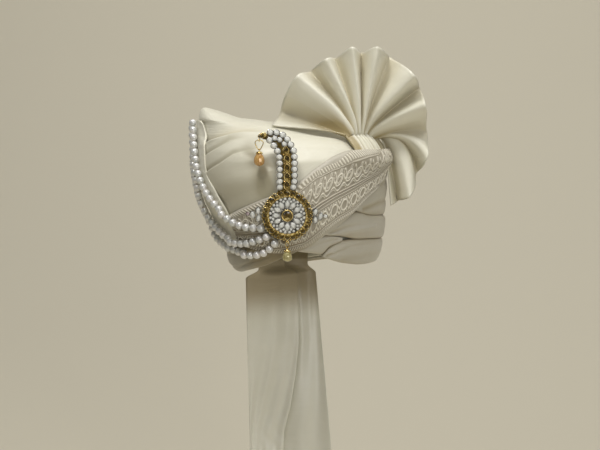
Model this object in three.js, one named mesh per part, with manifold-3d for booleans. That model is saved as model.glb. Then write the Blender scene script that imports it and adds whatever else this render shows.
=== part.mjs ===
// A groom's tied turban (pagri): a satin crown with a pointed tip, cloth wound round it in wraps and
// rolls, an embroidered border band across the brow, a pleated fan, a hanging tail, three strings of
// pearls and a jewelled plume brooch (kalgi). Millimetres, +Z up, the face looks along -Y, and the
// origin is the middle of the head opening at the brow.
import * as THREE from 'three';
import { mergeVertices } from 'three/addons/utils/BufferGeometryUtils.js';
import Module from 'manifold-3d';

const wasm = await Module();
wasm.setup();

// Overall sizes of the wound form. "Right" and "left" are the wearer's: right is -X, left is +X.
const tipHeight = 208; // brow to the pointed tip
const rightReach = 141; // from the middle to the widest place on each side
const leftReach = 112;
const frontReach = 127;
const backReach = 131;

// Cloth
const crownWall = 2.5;
const windDepth = 11; // how deep the wraps lie over the crown at the brow
const layerGap = 1.2; // between one wrap and the next
const crownGap = 2.6; // between the crown and what is wound on it
const edgeGap = 0.7; // between two rolls, edge to edge
const wrapLift = 1.5; // how far the wraps stand out of the form
const pleatStep = 0.75; // each pleat of the front panel lies this much over the one above
const foldLift = 5; // the side wrap's folded front edge
const bandCloth = 3.2; // the border band, two tiers of embroidered cloth
const bandStep = 1.1; // the upper tier over the lower one
const fanCloth = 1.8;
const tailCloth = 2;

// Fan and tail
const fanRadius = 122;
const fanDepth = 13; // from the pleats' middle to a ridge at the fan's edge
const neckDepth = 3; // the same where the fan is gathered
const neckHeight = 148;
const tailDrop = 292; // brow to the tail's hem

// Pearls
const pearlRadius = 5;
const pearlPitch = 10.3;
const threadRadius = 1.3;
const restGap = 0.4; // between a pearl and the cloth below it

// Brooch
const discRadius = 31.5;
const plateThick = 1.5;
const stoneGap = 0.3; // between the setting and each field of stones that sits on it
const roundStone = 3.4; // radius of the white stones in the stem's rows
const stonePitch = 7.75;
const stoneHeight = 2.2;
const ringStones = 24;
const petalStones = 12;
const centreRadius = 7.2;
const stemWidth = 25;
const dropGap = 5.5; // between the upper drop and the cloth behind it
const wire = 0.6;
const eyeRadius = 2; // of the rings that the drops hang from
const broochHeight = 75; // the disc's centre above the brow
const broochTurn = -2.1;
const broochLean = -1.5; // degrees back from upright
const pearBead = 13; // width of the upper drop's bead
const clearBead = 9; // width of the lower drop's bead

// Stones of the stem, from the disc's centre: across and up, each as a share of discRadius.
const rightStones = [
  [0.24, 1.14], [0.262, 1.36], [0.264, 1.6], [0.264, 1.84], [0.27, 2.08], [0.27, 2.33],
  [0.24, 2.57], [0.14, 2.81], [0, 3.03], [-0.18, 3.21], [-0.43, 3.29], [-0.68, 3.29],
];
const leftStones = [
  [-0.3, 1.14], [-0.3, 1.36], [-0.3, 1.6], [-0.3, 1.84], [-0.3, 2.08], [-0.33, 2.32],
  [-0.4, 2.56], [-0.53, 2.77], [-0.7, 2.94],
];
const amberStones = [
  [-0.04, 1.18, 0], [-0.035, 1.53, 0], [-0.025, 1.87, 0], [-0.015, 2.25, 0], [-0.055, 2.58, 0.3], [-0.22, 2.86, 0.7],
]; // the last column turns each along the curl, in radians
const curlEnd = [-1.02, 3.17]; // the amber leaf at the tip of the curl
const dropTurn = -15; // where the upper drop's bead hangs, and how high above the disc's centre
const dropLow = 2.2;
const leftSpray = [[-1.18, 0.18], [-1.14, -0.1], [-1.38, 0.02]];
const rightSpray = [[1.14, 0.12], [1.14, -0.18], [1.37, -0.04]];

// Sections of the form from the brim to the tip, as shares of tipHeight and of the four reaches. middle
// is where a section's front comes, as a share of rightReach: the two sides of it curve on their own.
const sections = [
  { height: -0.067, right: 0.596, left: 0.75, front: 0.787, back: 0.794, middle: 0 },
  { height: 0, right: 0.688, left: 0.857, front: 0.874, back: 0.863, middle: -0.004 },
  { height: 0.12, right: 0.741, left: 0.938, front: 0.921, back: 0.916, middle: -0.025 },
  { height: 0.274, right: 0.837, left: 0.973, front: 0.969, back: 0.962, middle: -0.082 },
  { height: 0.466, right: 0.95, left: 0.982, front: 1, back: 1, middle: -0.135 },
  { height: 0.663, right: 0.993, left: 1, front: 0.953, back: 0.969, middle: -0.149 },
  { height: 0.721, right: 0.993, left: 0.938, front: 0.898, back: 0.908, middle: -0.174 },
  { height: 0.793, right: 0.996, left: 0.786, front: 0.772, back: 0.779, middle: -0.23 },
  { height: 0.856, right: 1, left: 0.464, front: 0.606, back: 0.611, middle: -0.351 },
  { height: 0.899, right: 1, left: -0.089, front: 0.465, back: 0.473, middle: -0.539 },
  { height: 0.928, right: 0.996, left: -0.714, front: 0.362, back: 0.359, middle: -0.766 },
  { height: 0.962, right: 0.986, left: -0.911, front: 0.252, back: 0.244, middle: -0.851 },
  { height: 0.986, right: 0.972, left: -1.054, front: 0.157, back: 0.153, middle: -0.904 },
  { height: 1, right: 0.95, left: -1.16, front: 0.079, back: 0.076, middle: -0.936 },
];

// The lower edge all round: turn in degrees from the face, growing towards the wearer's left.
const brim = [
  { turn: -180, height: -0.062 },
  { turn: -90, height: -0.062 },
  { turn: -71, height: -0.053 },
  { turn: -53, height: -0.029 },
  { turn: -30, height: 0.024 },
  { turn: -16, height: 0.072 },
  { turn: -2, height: 0.125 },
  { turn: 10, height: 0.105 },
  { turn: 24, height: 0.058 },
  { turn: 44, height: 0.024 },
  { turn: 60, height: 0.014 },
  { turn: 90, height: 0.01 },
  { turn: 130, height: -0.014 },
  { turn: 180, height: -0.062 },
];

// How deep the crown lies under the form, as a share of windDepth: deep where cloth is wound over it.
const crownSink = [
  { height: 0, depth: 1 },
  { height: 0.53, depth: 1 },
  { height: 0.67, depth: 0.73 },
  { height: 0.79, depth: 0.36 },
  { height: 0.856, depth: 0.23 },
  { height: 0.9, depth: 0.05 },
  { height: 0.93, depth: 0 },
];

// Wraps laid round the form by turn, each with its lower and upper edge.
const frontPanelRows = [
  { turn: -67, low: 0.264, high: 0.76 },
  { turn: -61, low: 0.27, high: 0.784 },
  { turn: -44, low: 0.29, high: 0.817 },
  { turn: -17, low: 0.385, high: 0.85 },
  { turn: 1, low: 0.457, high: 0.851 },
  { turn: 18, low: 0.582, high: 0.84 },
  { turn: 38, low: 0.673, high: 0.81 },
  { turn: 60, low: 0.68, high: 0.775 },
  { turn: 80, low: 0.685, high: 0.76 },
  { turn: 96, low: 0.71, high: 0.75 },
];
const bandRows = [
  { turn: -44.2, low: 0.157, high: 0.35 },
  { turn: -41, low: 0.15, high: 0.361 },
  { turn: -17, low: 0.115, high: 0.447 },
  { turn: 1, low: 0.139, high: 0.514 },
  { turn: 18, low: 0.231, high: 0.649 },
  { turn: 28, low: 0.288, high: 0.712 },
  { turn: 38, low: 0.356, high: 0.75 },
  { turn: 48, low: 0.433, high: 0.76 },
  { turn: 60, low: 0.505, high: 0.76 },
  { turn: 70, low: 0.582, high: 0.754 },
  { turn: 80, low: 0.65, high: 0.745 },
  { turn: 90, low: 0.68, high: 0.74 },
];
const browWrapRows = [
  { turn: -179.5, low: -0.062, high: 0.12 },
  { turn: -160, low: -0.062, high: 0.155 },
  { turn: -120, low: -0.062, high: 0.159 },
  { turn: -71, low: -0.053, high: 0.159 },
  { turn: -53, low: -0.029, high: 0.159 },
  { turn: -30, low: 0.024, high: 0.159 },
  { turn: -16, low: 0.072, high: 0.16 },
  { turn: -2, low: 0.125, high: 0.17 },
];
const rollRows = {
  brow_fold: [
    { turn: -1.5, low: 0.125, high: 0.165 },
    { turn: 8, low: 0.112, high: 0.205 },
    { turn: 14, low: 0.106, high: 0.22 },
    { turn: 20, low: 0.15, high: 0.223 },
    { turn: 30, low: 0.188, high: 0.208 },
  ],
  lower_roll: [
    { turn: 15, low: 0.088, high: 0.101 },
    { turn: 20, low: 0.072, high: 0.145 },
    { turn: 30, low: 0.046, high: 0.184 },
    { turn: 36, low: 0.036, high: 0.188 },
    { turn: 50, low: 0.019, high: 0.183 },
    { turn: 76, low: 0.012, high: 0.168 },
    { turn: 130, low: -0.014, high: 0.14 },
    { turn: 179.8, low: -0.062, high: 0.125 },
  ],
  middle_roll: [
    { turn: 16, low: 0.228, high: 0.24 },
    { turn: 30, low: 0.212, high: 0.31 },
    { turn: 42, low: 0.19, high: 0.36 },
    { turn: 55, low: 0.183, high: 0.332 },
    { turn: 76, low: 0.168, high: 0.317 },
    { turn: 130, low: 0.14, high: 0.28 },
    { turn: 160, low: 0.13, high: 0.27 },
    { turn: 186, low: 0.16, high: 0.26 },
  ],
  upper_roll: [
    { turn: 41.5, low: 0.368, high: 0.38 },
    { turn: 55, low: 0.332, high: 0.52 },
    { turn: 76, low: 0.317, high: 0.65 },
    { turn: 100, low: 0.3, high: 0.7 },
    { turn: 130, low: 0.28, high: 0.69 },
    { turn: 190, low: 0.26, high: 0.64 },
  ],
};
// The side wrap is laid by height: its folded edge down the front and its end at the back.
const sideWrapRows = [
  { height: 0.162, from: -46, to: -184 },
  { height: 0.24, from: -45.5, to: -187 },
  { height: 0.36, from: -45.8, to: -192 },
  { height: 0.49, from: -52, to: -197 },
  { height: 0.59, from: -59, to: -200 },
  { height: 0.7, from: -60.5, to: -203 },
  { height: 0.79, from: -60.5, to: -204 },
  { height: 0.86, from: -60, to: -203 },
  { height: 0.92, from: -55, to: -190 },
];

// The fan, a row for each ridge and each valley: direction in degrees, reach as a share of fanRadius,
// and how far it comes forward as a share of fanDepth.
const fanFolds = [
  { angle: 171, reach: 0.95, forward: 0.7 },
  { angle: 161, reach: 0.9, forward: -0.9 },
  { angle: 135, reach: 0.955, forward: 1 },
  { angle: 126, reach: 0.905, forward: -1 },
  { angle: 113, reach: 0.93, forward: 1 },
  { angle: 107, reach: 0.905, forward: -0.8 },
  { angle: 95, reach: 0.985, forward: 1 },
  { angle: 89, reach: 0.92, forward: -0.8 },
  { angle: 79.5, reach: 1, forward: 1 },
  { angle: 70, reach: 0.94, forward: -0.8 },
  { angle: 50, reach: 0.895, forward: 1 },
  { angle: 40, reach: 0.86, forward: -1 },
  { angle: 27, reach: 0.79, forward: 0.9 },
  { angle: 6, reach: 0.745, forward: -0.9 },
  { angle: -16, reach: 0.76, forward: 1 },
  { angle: -31, reach: 0.745, forward: -0.8 },
  { angle: -49, reach: 0.83, forward: 1 },
  { angle: -58, reach: 0.81, forward: -0.7 },
  { angle: -64, reach: 0.8, forward: 0.6 },
];
const neckShare = 0.14; // of a pleat's length that lies gathered on the form
const fanRootTurn = { first: 43, last: 84 }; // where the gathered neck lies on the form
const fanTurnsOut = { from: -20, to: 50 }; // pleats below these directions bow out over the band

// Routes of the three strings of pearls: turn in degrees, height as a share of tipHeight.
const pearlRoutes = {
  pearl_string_upper: [
    [-20, 0.287], [-28, 0.289], [-36, 0.308], [-43, 0.345], [-51, 0.409], [-60, 0.495], [-66.3, 0.6],
    [-71, 0.71], [-73, 0.8], [-73, 0.86], [-72, 0.905],
  ],
  pearl_string_middle: [
    [-18, 0.236], [-27, 0.21], [-37, 0.19], [-46, 0.19], [-55, 0.219], [-65, 0.265], [-73, 0.335],
    [-76, 0.44], [-78, 0.56], [-81, 0.7], [-86, 0.81], [-90, 0.87],
  ],
  pearl_string_lower: [
    [-14, 0.197], [-20, 0.154], [-27, 0.125], [-35, 0.114], [-43, 0.112], [-51, 0.122], [-58, 0.141],
    [-66, 0.165], [-74, 0.2], [-80, 0.26], [-85, 0.36], [-87, 0.48], [-90, 0.62], [-96, 0.76], [-104, 0.84],
  ],
};

// Finishes
const cloth = (color) => new THREE.MeshStandardMaterial({ color, roughness: 0.45, metalness: 0 });
const satin = cloth(0xd9d2bd);
const panelSatin = cloth(0xcfc8b2);
const wrapSatin = cloth(0xbdb6a2);
const embroidery = cloth(0xc4b79c);
const pearl = new THREE.MeshStandardMaterial({ color: 0xe6e4df, roughness: 0.2, metalness: 0.1 });
const gold = new THREE.MeshStandardMaterial({ color: 0xc79a3b, roughness: 0.25, metalness: 1 });
const amber = new THREE.MeshStandardMaterial({ color: 0x8a5a12, roughness: 0.1, metalness: 0.1 });
const crystal = new THREE.MeshStandardMaterial({ color: 0xd4dadb, roughness: 0.08, metalness: 0.2 });

const turban = new THREE.Group();
const radians = THREE.MathUtils.degToRad;
const mix = THREE.MathUtils.lerp;

function addPiece(parent, name, geometry, material) {
  const mesh = new THREE.Mesh(geometry, material);
  mesh.name = name;
  parent.add(mesh);
  return mesh;
}

// A column of a table at a key, on a smooth curve through its rows.
function read(table, key, at, column) {
  const last = table.length - 1;
  const clamped = THREE.MathUtils.clamp(at, table[0][key], table[last][key]);
  let i = 0;
  while (i < last - 1 && clamped > table[i + 1][key]) i += 1;
  const [a, b] = [table[i], table[i + 1]];
  const before = table[Math.max(i - 1, 0)];
  const after = table[Math.min(i + 2, last)];
  const step = b[key] - a[key];
  const slope = (b[column] - a[column]) / step;
  const slopeA = i > 0 ? blendSlopes((a[column] - before[column]) / (a[key] - before[key]), slope) : slope;
  const slopeB = i < last - 1 ? blendSlopes(slope, (after[column] - b[column]) / (after[key] - b[key])) : slope;
  const t = (clamped - a[key]) / step;
  return (
    (2 * t ** 3 - 3 * t ** 2 + 1) * a[column] +
    (t ** 3 - 2 * t ** 2 + t) * step * slopeA +
    (3 * t ** 2 - 2 * t ** 3) * b[column] +
    (t ** 3 - t ** 2) * step * slopeB
  );
}

// The slope where two spans meet: none at a peak, and else their harmonic mean, which never overshoots.
function blendSlopes(one, other) {
  return one * other <= 0 ? 0 : (2 * one * other) / (one + other);
}

// A point of the form at a turn and a height, before any lift.
function formAt(turn, height) {
  const share = height / tipHeight;
  const right = rightReach * read(sections, 'height', share, 'right');
  const left = leftReach * read(sections, 'height', share, 'left');
  const front = frontReach * read(sections, 'height', share, 'front');
  const back = backReach * read(sections, 'height', share, 'back');
  const middle = rightReach * read(sections, 'height', share, 'middle');
  const angle = radians(turn);
  const half = Math.sin(angle) < 0 ? right + middle : left - middle;
  return new THREE.Vector3(
    middle + half * Math.sin(angle),
    (back - front) / 2 - ((front + back) / 2) * Math.cos(angle),
    height,
  );
}

// The form's outward direction, from small steps along and up it.
function formNormal(turn, height) {
  const top = Math.min(height + 0.5, tipHeight);
  const along = formAt(turn + 1, height).sub(formAt(turn - 1, height));
  const up = formAt(turn, top).sub(formAt(turn, top - 1));
  return along.cross(up).normalize();
}

function onForm(turn, height, lift) {
  return formAt(turn, height).addScaledVector(formNormal(turn, height), lift);
}

const brimAt = (turn) => tipHeight * read(brim, 'turn', turn, 'height');
const crownLift = (height) => -windDepth * read(crownSink, 'height', height / tipHeight, 'depth');

// A closed solid between a face and a back, each a grid of points. A ring closes on itself.
function slab(columns, rows, face, back, ring = false) {
  const positions = [];
  const indices = [];
  const wide = ring ? columns : columns + 1;
  for (const side of [face, back]) {
    for (let i = 0; i < wide; i += 1) {
      for (let j = 0; j <= rows; j += 1) positions.push(...side(i, j).toArray());
    }
  }
  const layer = wide * (rows + 1);
  const at = (side, i, j) => side * layer + (i % wide) * (rows + 1) + j;
  const quad = (a, b, c, d) => indices.push(a, b, c, a, c, d);
  for (let i = 0; i < columns; i += 1) {
    for (let j = 0; j < rows; j += 1) {
      quad(at(0, i, j), at(0, i + 1, j), at(0, i + 1, j + 1), at(0, i, j + 1));
      quad(at(1, i, j), at(1, i, j + 1), at(1, i + 1, j + 1), at(1, i + 1, j));
    }
    quad(at(1, i, 0), at(1, i + 1, 0), at(0, i + 1, 0), at(0, i, 0));
    quad(at(0, i, rows), at(0, i + 1, rows), at(1, i + 1, rows), at(1, i, rows));
  }
  for (let j = 0; j < rows && !ring; j += 1) {
    quad(at(0, 0, j), at(0, 0, j + 1), at(1, 0, j + 1), at(1, 0, j));
    quad(at(1, columns, j), at(1, columns, j + 1), at(0, columns, j + 1), at(0, columns, j));
  }
  const geometry = new THREE.BufferGeometry();
  geometry.setAttribute('position', new THREE.Float32BufferAttribute(positions, 3));
  geometry.setIndex(indices);
  geometry.computeVertexNormals();
  return geometry;
}

// Cloth laid on the form. place gives turn and height at (s, t), and inner and outer its two lifts.
function wrap(columns, rows, place, inner, outer) {
  const side = (lift) => (i, j) => {
    const [s, t] = [i / columns, j / rows];
    const { turn, height } = place(s, t);
    return onForm(turn, height, lift(turn, height, s, t));
  };
  return slab(columns, rows, side(outer), side(inner));
}

// A strip laid by turn. edge keeps it clear of the strips above and below.
function strip(table, edge = 0) {
  const [first, last] = [table[0].turn, table[table.length - 1].turn];
  return (s, t) => {
    const turn = mix(first, last, s);
    const low = tipHeight * read(table, 'turn', turn, 'low') + edge / 2;
    const high = tipHeight * read(table, 'turn', turn, 'high') - edge / 2;
    return { turn, height: mix(low, Math.max(high, low + edge), t) };
  };
}

// How full a roll stands at t across it: thin at its edges and round between them.
const roundness = (t) => Math.sqrt(Math.max(0, 1 - (2 * t - 1) ** 4));

// Crown: a thin dome over the whole form, drawn up to the tip, open below for the head.
function crownShell() {
  const columns = 24;
  const outerShares = [0, 0.16, 0.34, 0.52, 0.68, 0.79, 0.87, 0.93, 0.98];
  const innerShares = [0, 0.16, 0.34, 0.52, 0.68, 0.79, 0.87, 0.9];
  const ringAt = (i, share, depth) => {
    const turn = (360 * i) / columns - 180;
    const low = brimAt(turn) + edgeGap;
    const height = mix(low, tipHeight, share);
    return onForm(turn, height, crownLift(height) - depth);
  };
  const positions = [];
  const indices = [];
  const start = [];
  for (const [shares, depth] of [[outerShares, 0], [innerShares, crownWall]]) {
    start.push(positions.length / 3);
    const top = new THREE.Vector3();
    for (const share of shares) {
      top.set(0, 0, 0);
      for (let i = 0; i < columns; i += 1) {
        const point = ringAt(i, share, depth);
        positions.push(...point.toArray());
        top.addScaledVector(point, 1 / columns);
      }
    }
    positions.push(...top.toArray());
  }
  [outerShares, innerShares].forEach((shares, side) => {
    const at = (i, j) => start[side] + j * columns + (i % columns);
    const turned = (a, b, c) => (side ? indices.push(a, c, b) : indices.push(a, b, c));
    for (let i = 0; i < columns; i += 1) {
      for (let j = 0; j < shares.length - 1; j += 1) {
        turned(at(i, j), at(i + 1, j), at(i + 1, j + 1));
        turned(at(i, j), at(i + 1, j + 1), at(i, j + 1));
      }
      const last = shares.length - 1;
      turned(at(i, last), at(i + 1, last), start[side] + shares.length * columns);
    }
  });
  for (let i = 0; i < columns; i += 1) {
    const [a, b] = [start[0] + i, start[0] + ((i + 1) % columns)];
    const [c, d] = [start[1] + i, start[1] + ((i + 1) % columns)];
    indices.push(c, d, b, c, b, a);
  }
  const geometry = new THREE.BufferGeometry();
  geometry.setAttribute('position', new THREE.Float32BufferAttribute(positions, 3));
  geometry.setIndex(indices);
  geometry.computeVertexNormals();
  return geometry;
}
addPiece(turban, 'crown', crownShell(), satin);

const overCrown = (turn, height) => crownLift(height) + crownGap;

// Front panel: one sheet in three pleats that run up from the side wrap's edge.
const panelOuter = (turn, height, s, t) => {
  const pleats = t > 0.85 ? 2 : t > 0.6 ? 1 : 0;
  return Math.max(wrapLift - pleats * pleatStep, overCrown(turn, height) + 1);
};
addPiece(turban, 'front_panel', wrap(16, 5, strip(frontPanelRows), overCrown, panelOuter), panelSatin);

// Brow wrap along the brim on the wearer's right, and the rolls on the left, each wound round and full.
const rollOuter = (turn, height, s, t) => mix(overCrown(turn, height) + 4, wrapLift, roundness(t));
addPiece(turban, 'brow_wrap', wrap(14, 3, strip(browWrapRows, edgeGap), overCrown, rollOuter), wrapSatin);
const rollColumns = { brow_fold: 5, lower_roll: 15, middle_roll: 15, upper_roll: 14 };
for (const [name, rows] of Object.entries(rollRows)) {
  const laid = wrap(rollColumns[name], 3, strip(rows, edgeGap), overCrown, rollOuter);
  addPiece(turban, name, laid, wrapSatin);
}

// Side wrap: over the front panel along its folded edge and over the rolls' ends at the back.
const sideOverlap = { front: -71, back: -158 }; // degrees of turn between which nothing lies under it
const ease = (from, to, at) => THREE.MathUtils.smoothstep(at, from, to);
const sideInner = (turn, height) => {
  const covered = Math.max(ease(-80, sideOverlap.front, turn), 1 - ease(sideOverlap.back, -146, turn));
  return mix(overCrown(turn, height), wrapLift + layerGap, covered);
};
const sideOuter = (turn, height, s, t) => {
  const edge = roundness(Math.min(s / 0.05, 1) / 2);
  const full = mix(wrapLift + 0.8, foldLift, 1 - ease(0.05, 0.22, s));
  const back = mix(full, wrapLift + layerGap + 2.4, 1 - ease(sideOverlap.back, -142, turn));
  const lift = mix(back, 1, 0.6 * (1 - roundness(t)));
  return Math.max(mix(sideInner(turn, height) + 1, lift, edge), sideInner(turn, height) + 1);
};
function sidePlace(s, t) {
  const first = sideWrapRows[0].height;
  const share = mix(first, sideWrapRows[sideWrapRows.length - 1].height, t);
  const from = read(sideWrapRows, 'height', share, 'from');
  const to = read(sideWrapRows, 'height', share, 'to');
  const crowded = s ** 1.35; // closer together at the folded edge
  return { turn: mix(from, to, crowded), height: share * tipHeight };
}
// It is laid from its front edge backwards, so its columns run the other way round.
const sideWrap = wrap(14, 8, (s, t) => sidePlace(1 - s, t), (u, h) => sideInner(u, h), (u, h, s, t) => sideOuter(u, h, 1 - s, t));
addPiece(turban, 'side_wrap', sideWrap, panelSatin);

// Border band: two tiers, bulging over the fan's gathered neck.
const bulgeBelow = { start: 22, full: 6 }; // below the fan's neck
const neckBulge = (turn, height) => {
  const rising = ease(neckHeight - bulgeBelow.start, neckHeight - bulgeBelow.full, height);
  return rising * ease(26, 38, turn) * (2 * neckDepth + fanCloth + 2.2);
};
const bandInner = (turn, height) => wrapLift + layerGap + 0.6 + neckBulge(turn, height);
const bandOuter = (turn, height, s, t) => bandInner(turn, height) + bandCloth + (t > 0.5 ? bandStep : 0);
addPiece(turban, 'border_band', wrap(18, 6, strip(bandRows), bandInner, bandOuter), embroidery);

// Fan: every ridge and valley runs from the gathered neck, tucked behind the band, out to the edge.
const fanMiddle = { across: 0.66, up: 0.156, front: 0.4, lowFront: 0.24 }; // shares of leftReach, fanRadius and frontReach
const fanBow = { out: 0.033, lowOut: 0.38, up: 0.164, lowUp: 0.19, endUp: 0.033 }; // shares of fanRadius
const neckRise = { high: 0.131, low: 0.1 }; // how far the gathered neck climbs the form, as a share of fanRadius
function fanPoint(angle, along) {
  const spread = (fanFolds[0].angle - angle) / (fanFolds[0].angle - fanFolds[fanFolds.length - 1].angle);
  const rootTurn = mix(fanRootTurn.first, fanRootTurn.last, spread);
  const folds = fanFolds.map((fold) => ({ ...fold, spread: -fold.angle }));
  const forward = read(folds, 'spread', -angle, 'forward');
  const lower = 1 - ease(fanTurnsOut.from, fanTurnsOut.to, angle);
  const lift = wrapLift + layerGap + neckDepth + fanCloth / 2 + 1;
  const gathered = forward * neckDepth * (1 - lower);
  const climb = fanRadius * mix(neckRise.high, neckRise.low, lower);
  const neck = (share) => onForm(rootTurn, neckHeight + climb * share, lift + share + gathered);
  if (along <= neckShare) return neck(along / neckShare);
  const reach = fanRadius * read(folds, 'spread', -angle, 'reach');
  const tip = new THREE.Vector3(
    fanMiddle.across * leftReach + reach * Math.cos(radians(angle)),
    -mix(fanMiddle.front, fanMiddle.lowFront, lower) * frontReach - forward * fanDepth,
    neckHeight + fanMiddle.up * fanRadius + reach * Math.sin(radians(angle)),
  );
  const start = neck(1);
  const outward = new THREE.Vector3(Math.sin(radians(rootTurn)), -Math.cos(radians(rootTurn)), 0);
  const over = start.clone().addScaledVector(outward, fanRadius * mix(fanBow.out, fanBow.lowOut, lower));
  over.z += fanRadius * mix(mix(fanBow.up, fanBow.endUp, ease(125, 160, angle)), fanBow.lowUp, lower);
  const out = (along - neckShare) / (1 - neckShare);
  return start
    .multiplyScalar((1 - out) ** 2)
    .addScaledVector(over, 2 * out * (1 - out))
    .addScaledVector(tip, out ** 2);
}

// A sheet of cloth through a grid of points, with half its thickness on each side, square to it.
function sheet(columns, rows, point, thickness) {
  const grid = [...Array(columns + 1).keys()].map((i) => [...Array(rows + 1).keys()].map((j) => point(i, j)));
  const face = (side) => (i, j) => {
    const at = grid[i][j];
    const along = grid[i][Math.min(j + 1, rows)].clone().sub(grid[i][Math.max(j - 1, 0)]);
    const before = i > 0 ? at.clone().sub(grid[i - 1][j]).cross(along).normalize() : null;
    const after = i < columns ? grid[i + 1][j].clone().sub(at).cross(along).normalize() : null;
    const square = (before || after).clone().add(after || before).normalize();
    const miter = Math.max(square.dot(after || before), 0.5);
    return at.clone().addScaledVector(square, ((side * thickness) / 2) / miter);
  };
  return slab(columns, rows, face(1), face(-1));
}
const fanAlongs = [0, neckShare, 0.28, 0.42, 0.65, 1];
const fan = sheet(fanFolds.length - 1, fanAlongs.length - 1, (i, j) => fanPoint(fanFolds[i].angle, fanAlongs[j]), fanCloth);
addPiece(turban, 'fan', fan, satin);

// Tail: hangs inside the back of the brim in one deep knife pleat, and opens a little towards its hem.
// The rows go across it: along its width, which of the pleat's layers, and how far the hem waves.
const tailSide = { left: -77, width: 118, back: 62, wave: 12 };
const tailTurn = { from: -100, to: -186 };
const tailLayer = tailCloth + 2.4;
const tailFolds = [
  { along: 0, layer: 2, wave: 0 },
  { along: 0.12, layer: 2, wave: 0.4 },
  { along: 0.25, layer: 2, wave: 0.1 },
  { along: 0.38, layer: 2, wave: -0.3 },
  { along: 0.5, layer: 2, wave: -0.05 },
  { along: 0.585, layer: 2, wave: -0.01 },
  { along: 0.62, layer: 1.5, wave: 0 },
  { along: 0.585, layer: 1, wave: -0.01 },
  { along: 0.5, layer: 1, wave: -0.05 },
  { along: 0.465, layer: 0.5, wave: -0.1 },
  { along: 0.5, layer: 0, wave: -0.05 },
  { along: 0.62, layer: 0, wave: 0 },
  { along: 0.75, layer: 0, wave: 0.4 },
  { along: 0.88, layer: 0, wave: 0.1 },
  { along: 1, layer: 0, wave: 0.5 },
];
const tailLevels = [0.055, 0.01, -0.05, -0.15, -0.4, -0.7, -1];
function tailPoint(fold, level, side) {
  const at = (i) => tailFolds[THREE.MathUtils.clamp(i, 0, tailFolds.length - 1)];
  const run = (at(fold + 1).along - at(fold - 1).along) * tailSide.width;
  const rise = (at(fold + 1).layer - at(fold - 1).layer) * tailLayer;
  const length = Math.hypot(run, rise);
  const along = at(fold).along + ((side * tailCloth) / 2) * (-rise / length / tailSide.width);
  const depth = at(fold).layer * tailLayer + ((side * tailCloth) / 2) * (run / length);
  const height = level * tailDrop;
  const brimHeight = tipHeight * sections[0].height;
  const inside = windDepth + crownWall + layerGap + 2.2 + depth;
  const top = onForm(mix(tailTurn.from, tailTurn.to, along), Math.max(height - windDepth, brimHeight), -inside);
  const hemX = tailSide.left + tailSide.width * along;
  const hemY = tailSide.back - depth - tailSide.wave * at(fold).wave;
  const open = 1 - ease(-0.9 * tailDrop, brimHeight, height);
  return new THREE.Vector3(mix(top.x, hemX, open), mix(top.y, hemY, open), height);
}
const tailFace = (side) => (i, j) => tailPoint(tailFolds.length - 1 - i, tailLevels[tailLevels.length - 1 - j], side);
addPiece(turban, 'tail', slab(tailFolds.length - 1, tailLevels.length - 1, tailFace(-1), tailFace(1)), satin);

// What the pearls and the brooch lie on at a place: the highest of the cloths there.
function clothTop(turn, height) {
  const share = height / tipHeight;
  const fold = read(sideWrapRows, 'height', share, 'from');
  const past = (fold - turn) / 150;
  let top = wrapLift;
  if (past > -0.02 && share > sideWrapRows[0].height) top = sideOuter(turn, height, Math.max(past, 0.05) ** 0.74, 0.5);
  const inBand = turn > bandRows[0].turn - 2 && turn < bandRows[bandRows.length - 1].turn;
  const low = tipHeight * read(bandRows, 'turn', turn, 'low');
  const high = tipHeight * read(bandRows, 'turn', turn, 'high');
  if (inBand && height > low - 3 && height < high + 3) top = Math.max(top, bandOuter(turn, height, 0, 1));
  return top;
}

// A string of pearls along a route, swept as one body: round at each pearl, thin between two.
function pearlString(route) {
  const middle = ([turn, share]) => {
    let lift = 0;
    for (const [across, up] of [[0, 0], [4.5, 0], [-4, 0], [0, 5], [0, -5]]) {
      lift = Math.max(lift, clothTop(turn + across, share * tipHeight + up));
    }
    return onForm(turn, share * tipHeight, lift + restGap + pearlRadius);
  };
  const curve = new THREE.CatmullRomCurve3(route.map(middle), false, 'centripetal');
  const count = Math.round(curve.getLength() / pearlPitch);
  const centres = curve.getSpacedPoints(count);
  const rings = [];
  const profile = [[-0.5, 0.94], [0.5, 0.94]];
  centres.forEach((centre, i) => {
    const ahead = centres[Math.min(i + 1, count)].clone().sub(centres[Math.max(i - 1, 0)]).normalize();
    for (const [step, size] of profile) {
      rings.push({ at: centre.clone().addScaledVector(ahead, step * pearlRadius), radius: size * pearlRadius, ahead });
    }
    if (i === count) return;
    const next = centres[i + 1];
    rings.push({ at: centre.clone().lerp(next, 0.5), radius: threadRadius, ahead: next.clone().sub(centre).normalize() });
  });
  return sweep(rings, 10);
}

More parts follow.
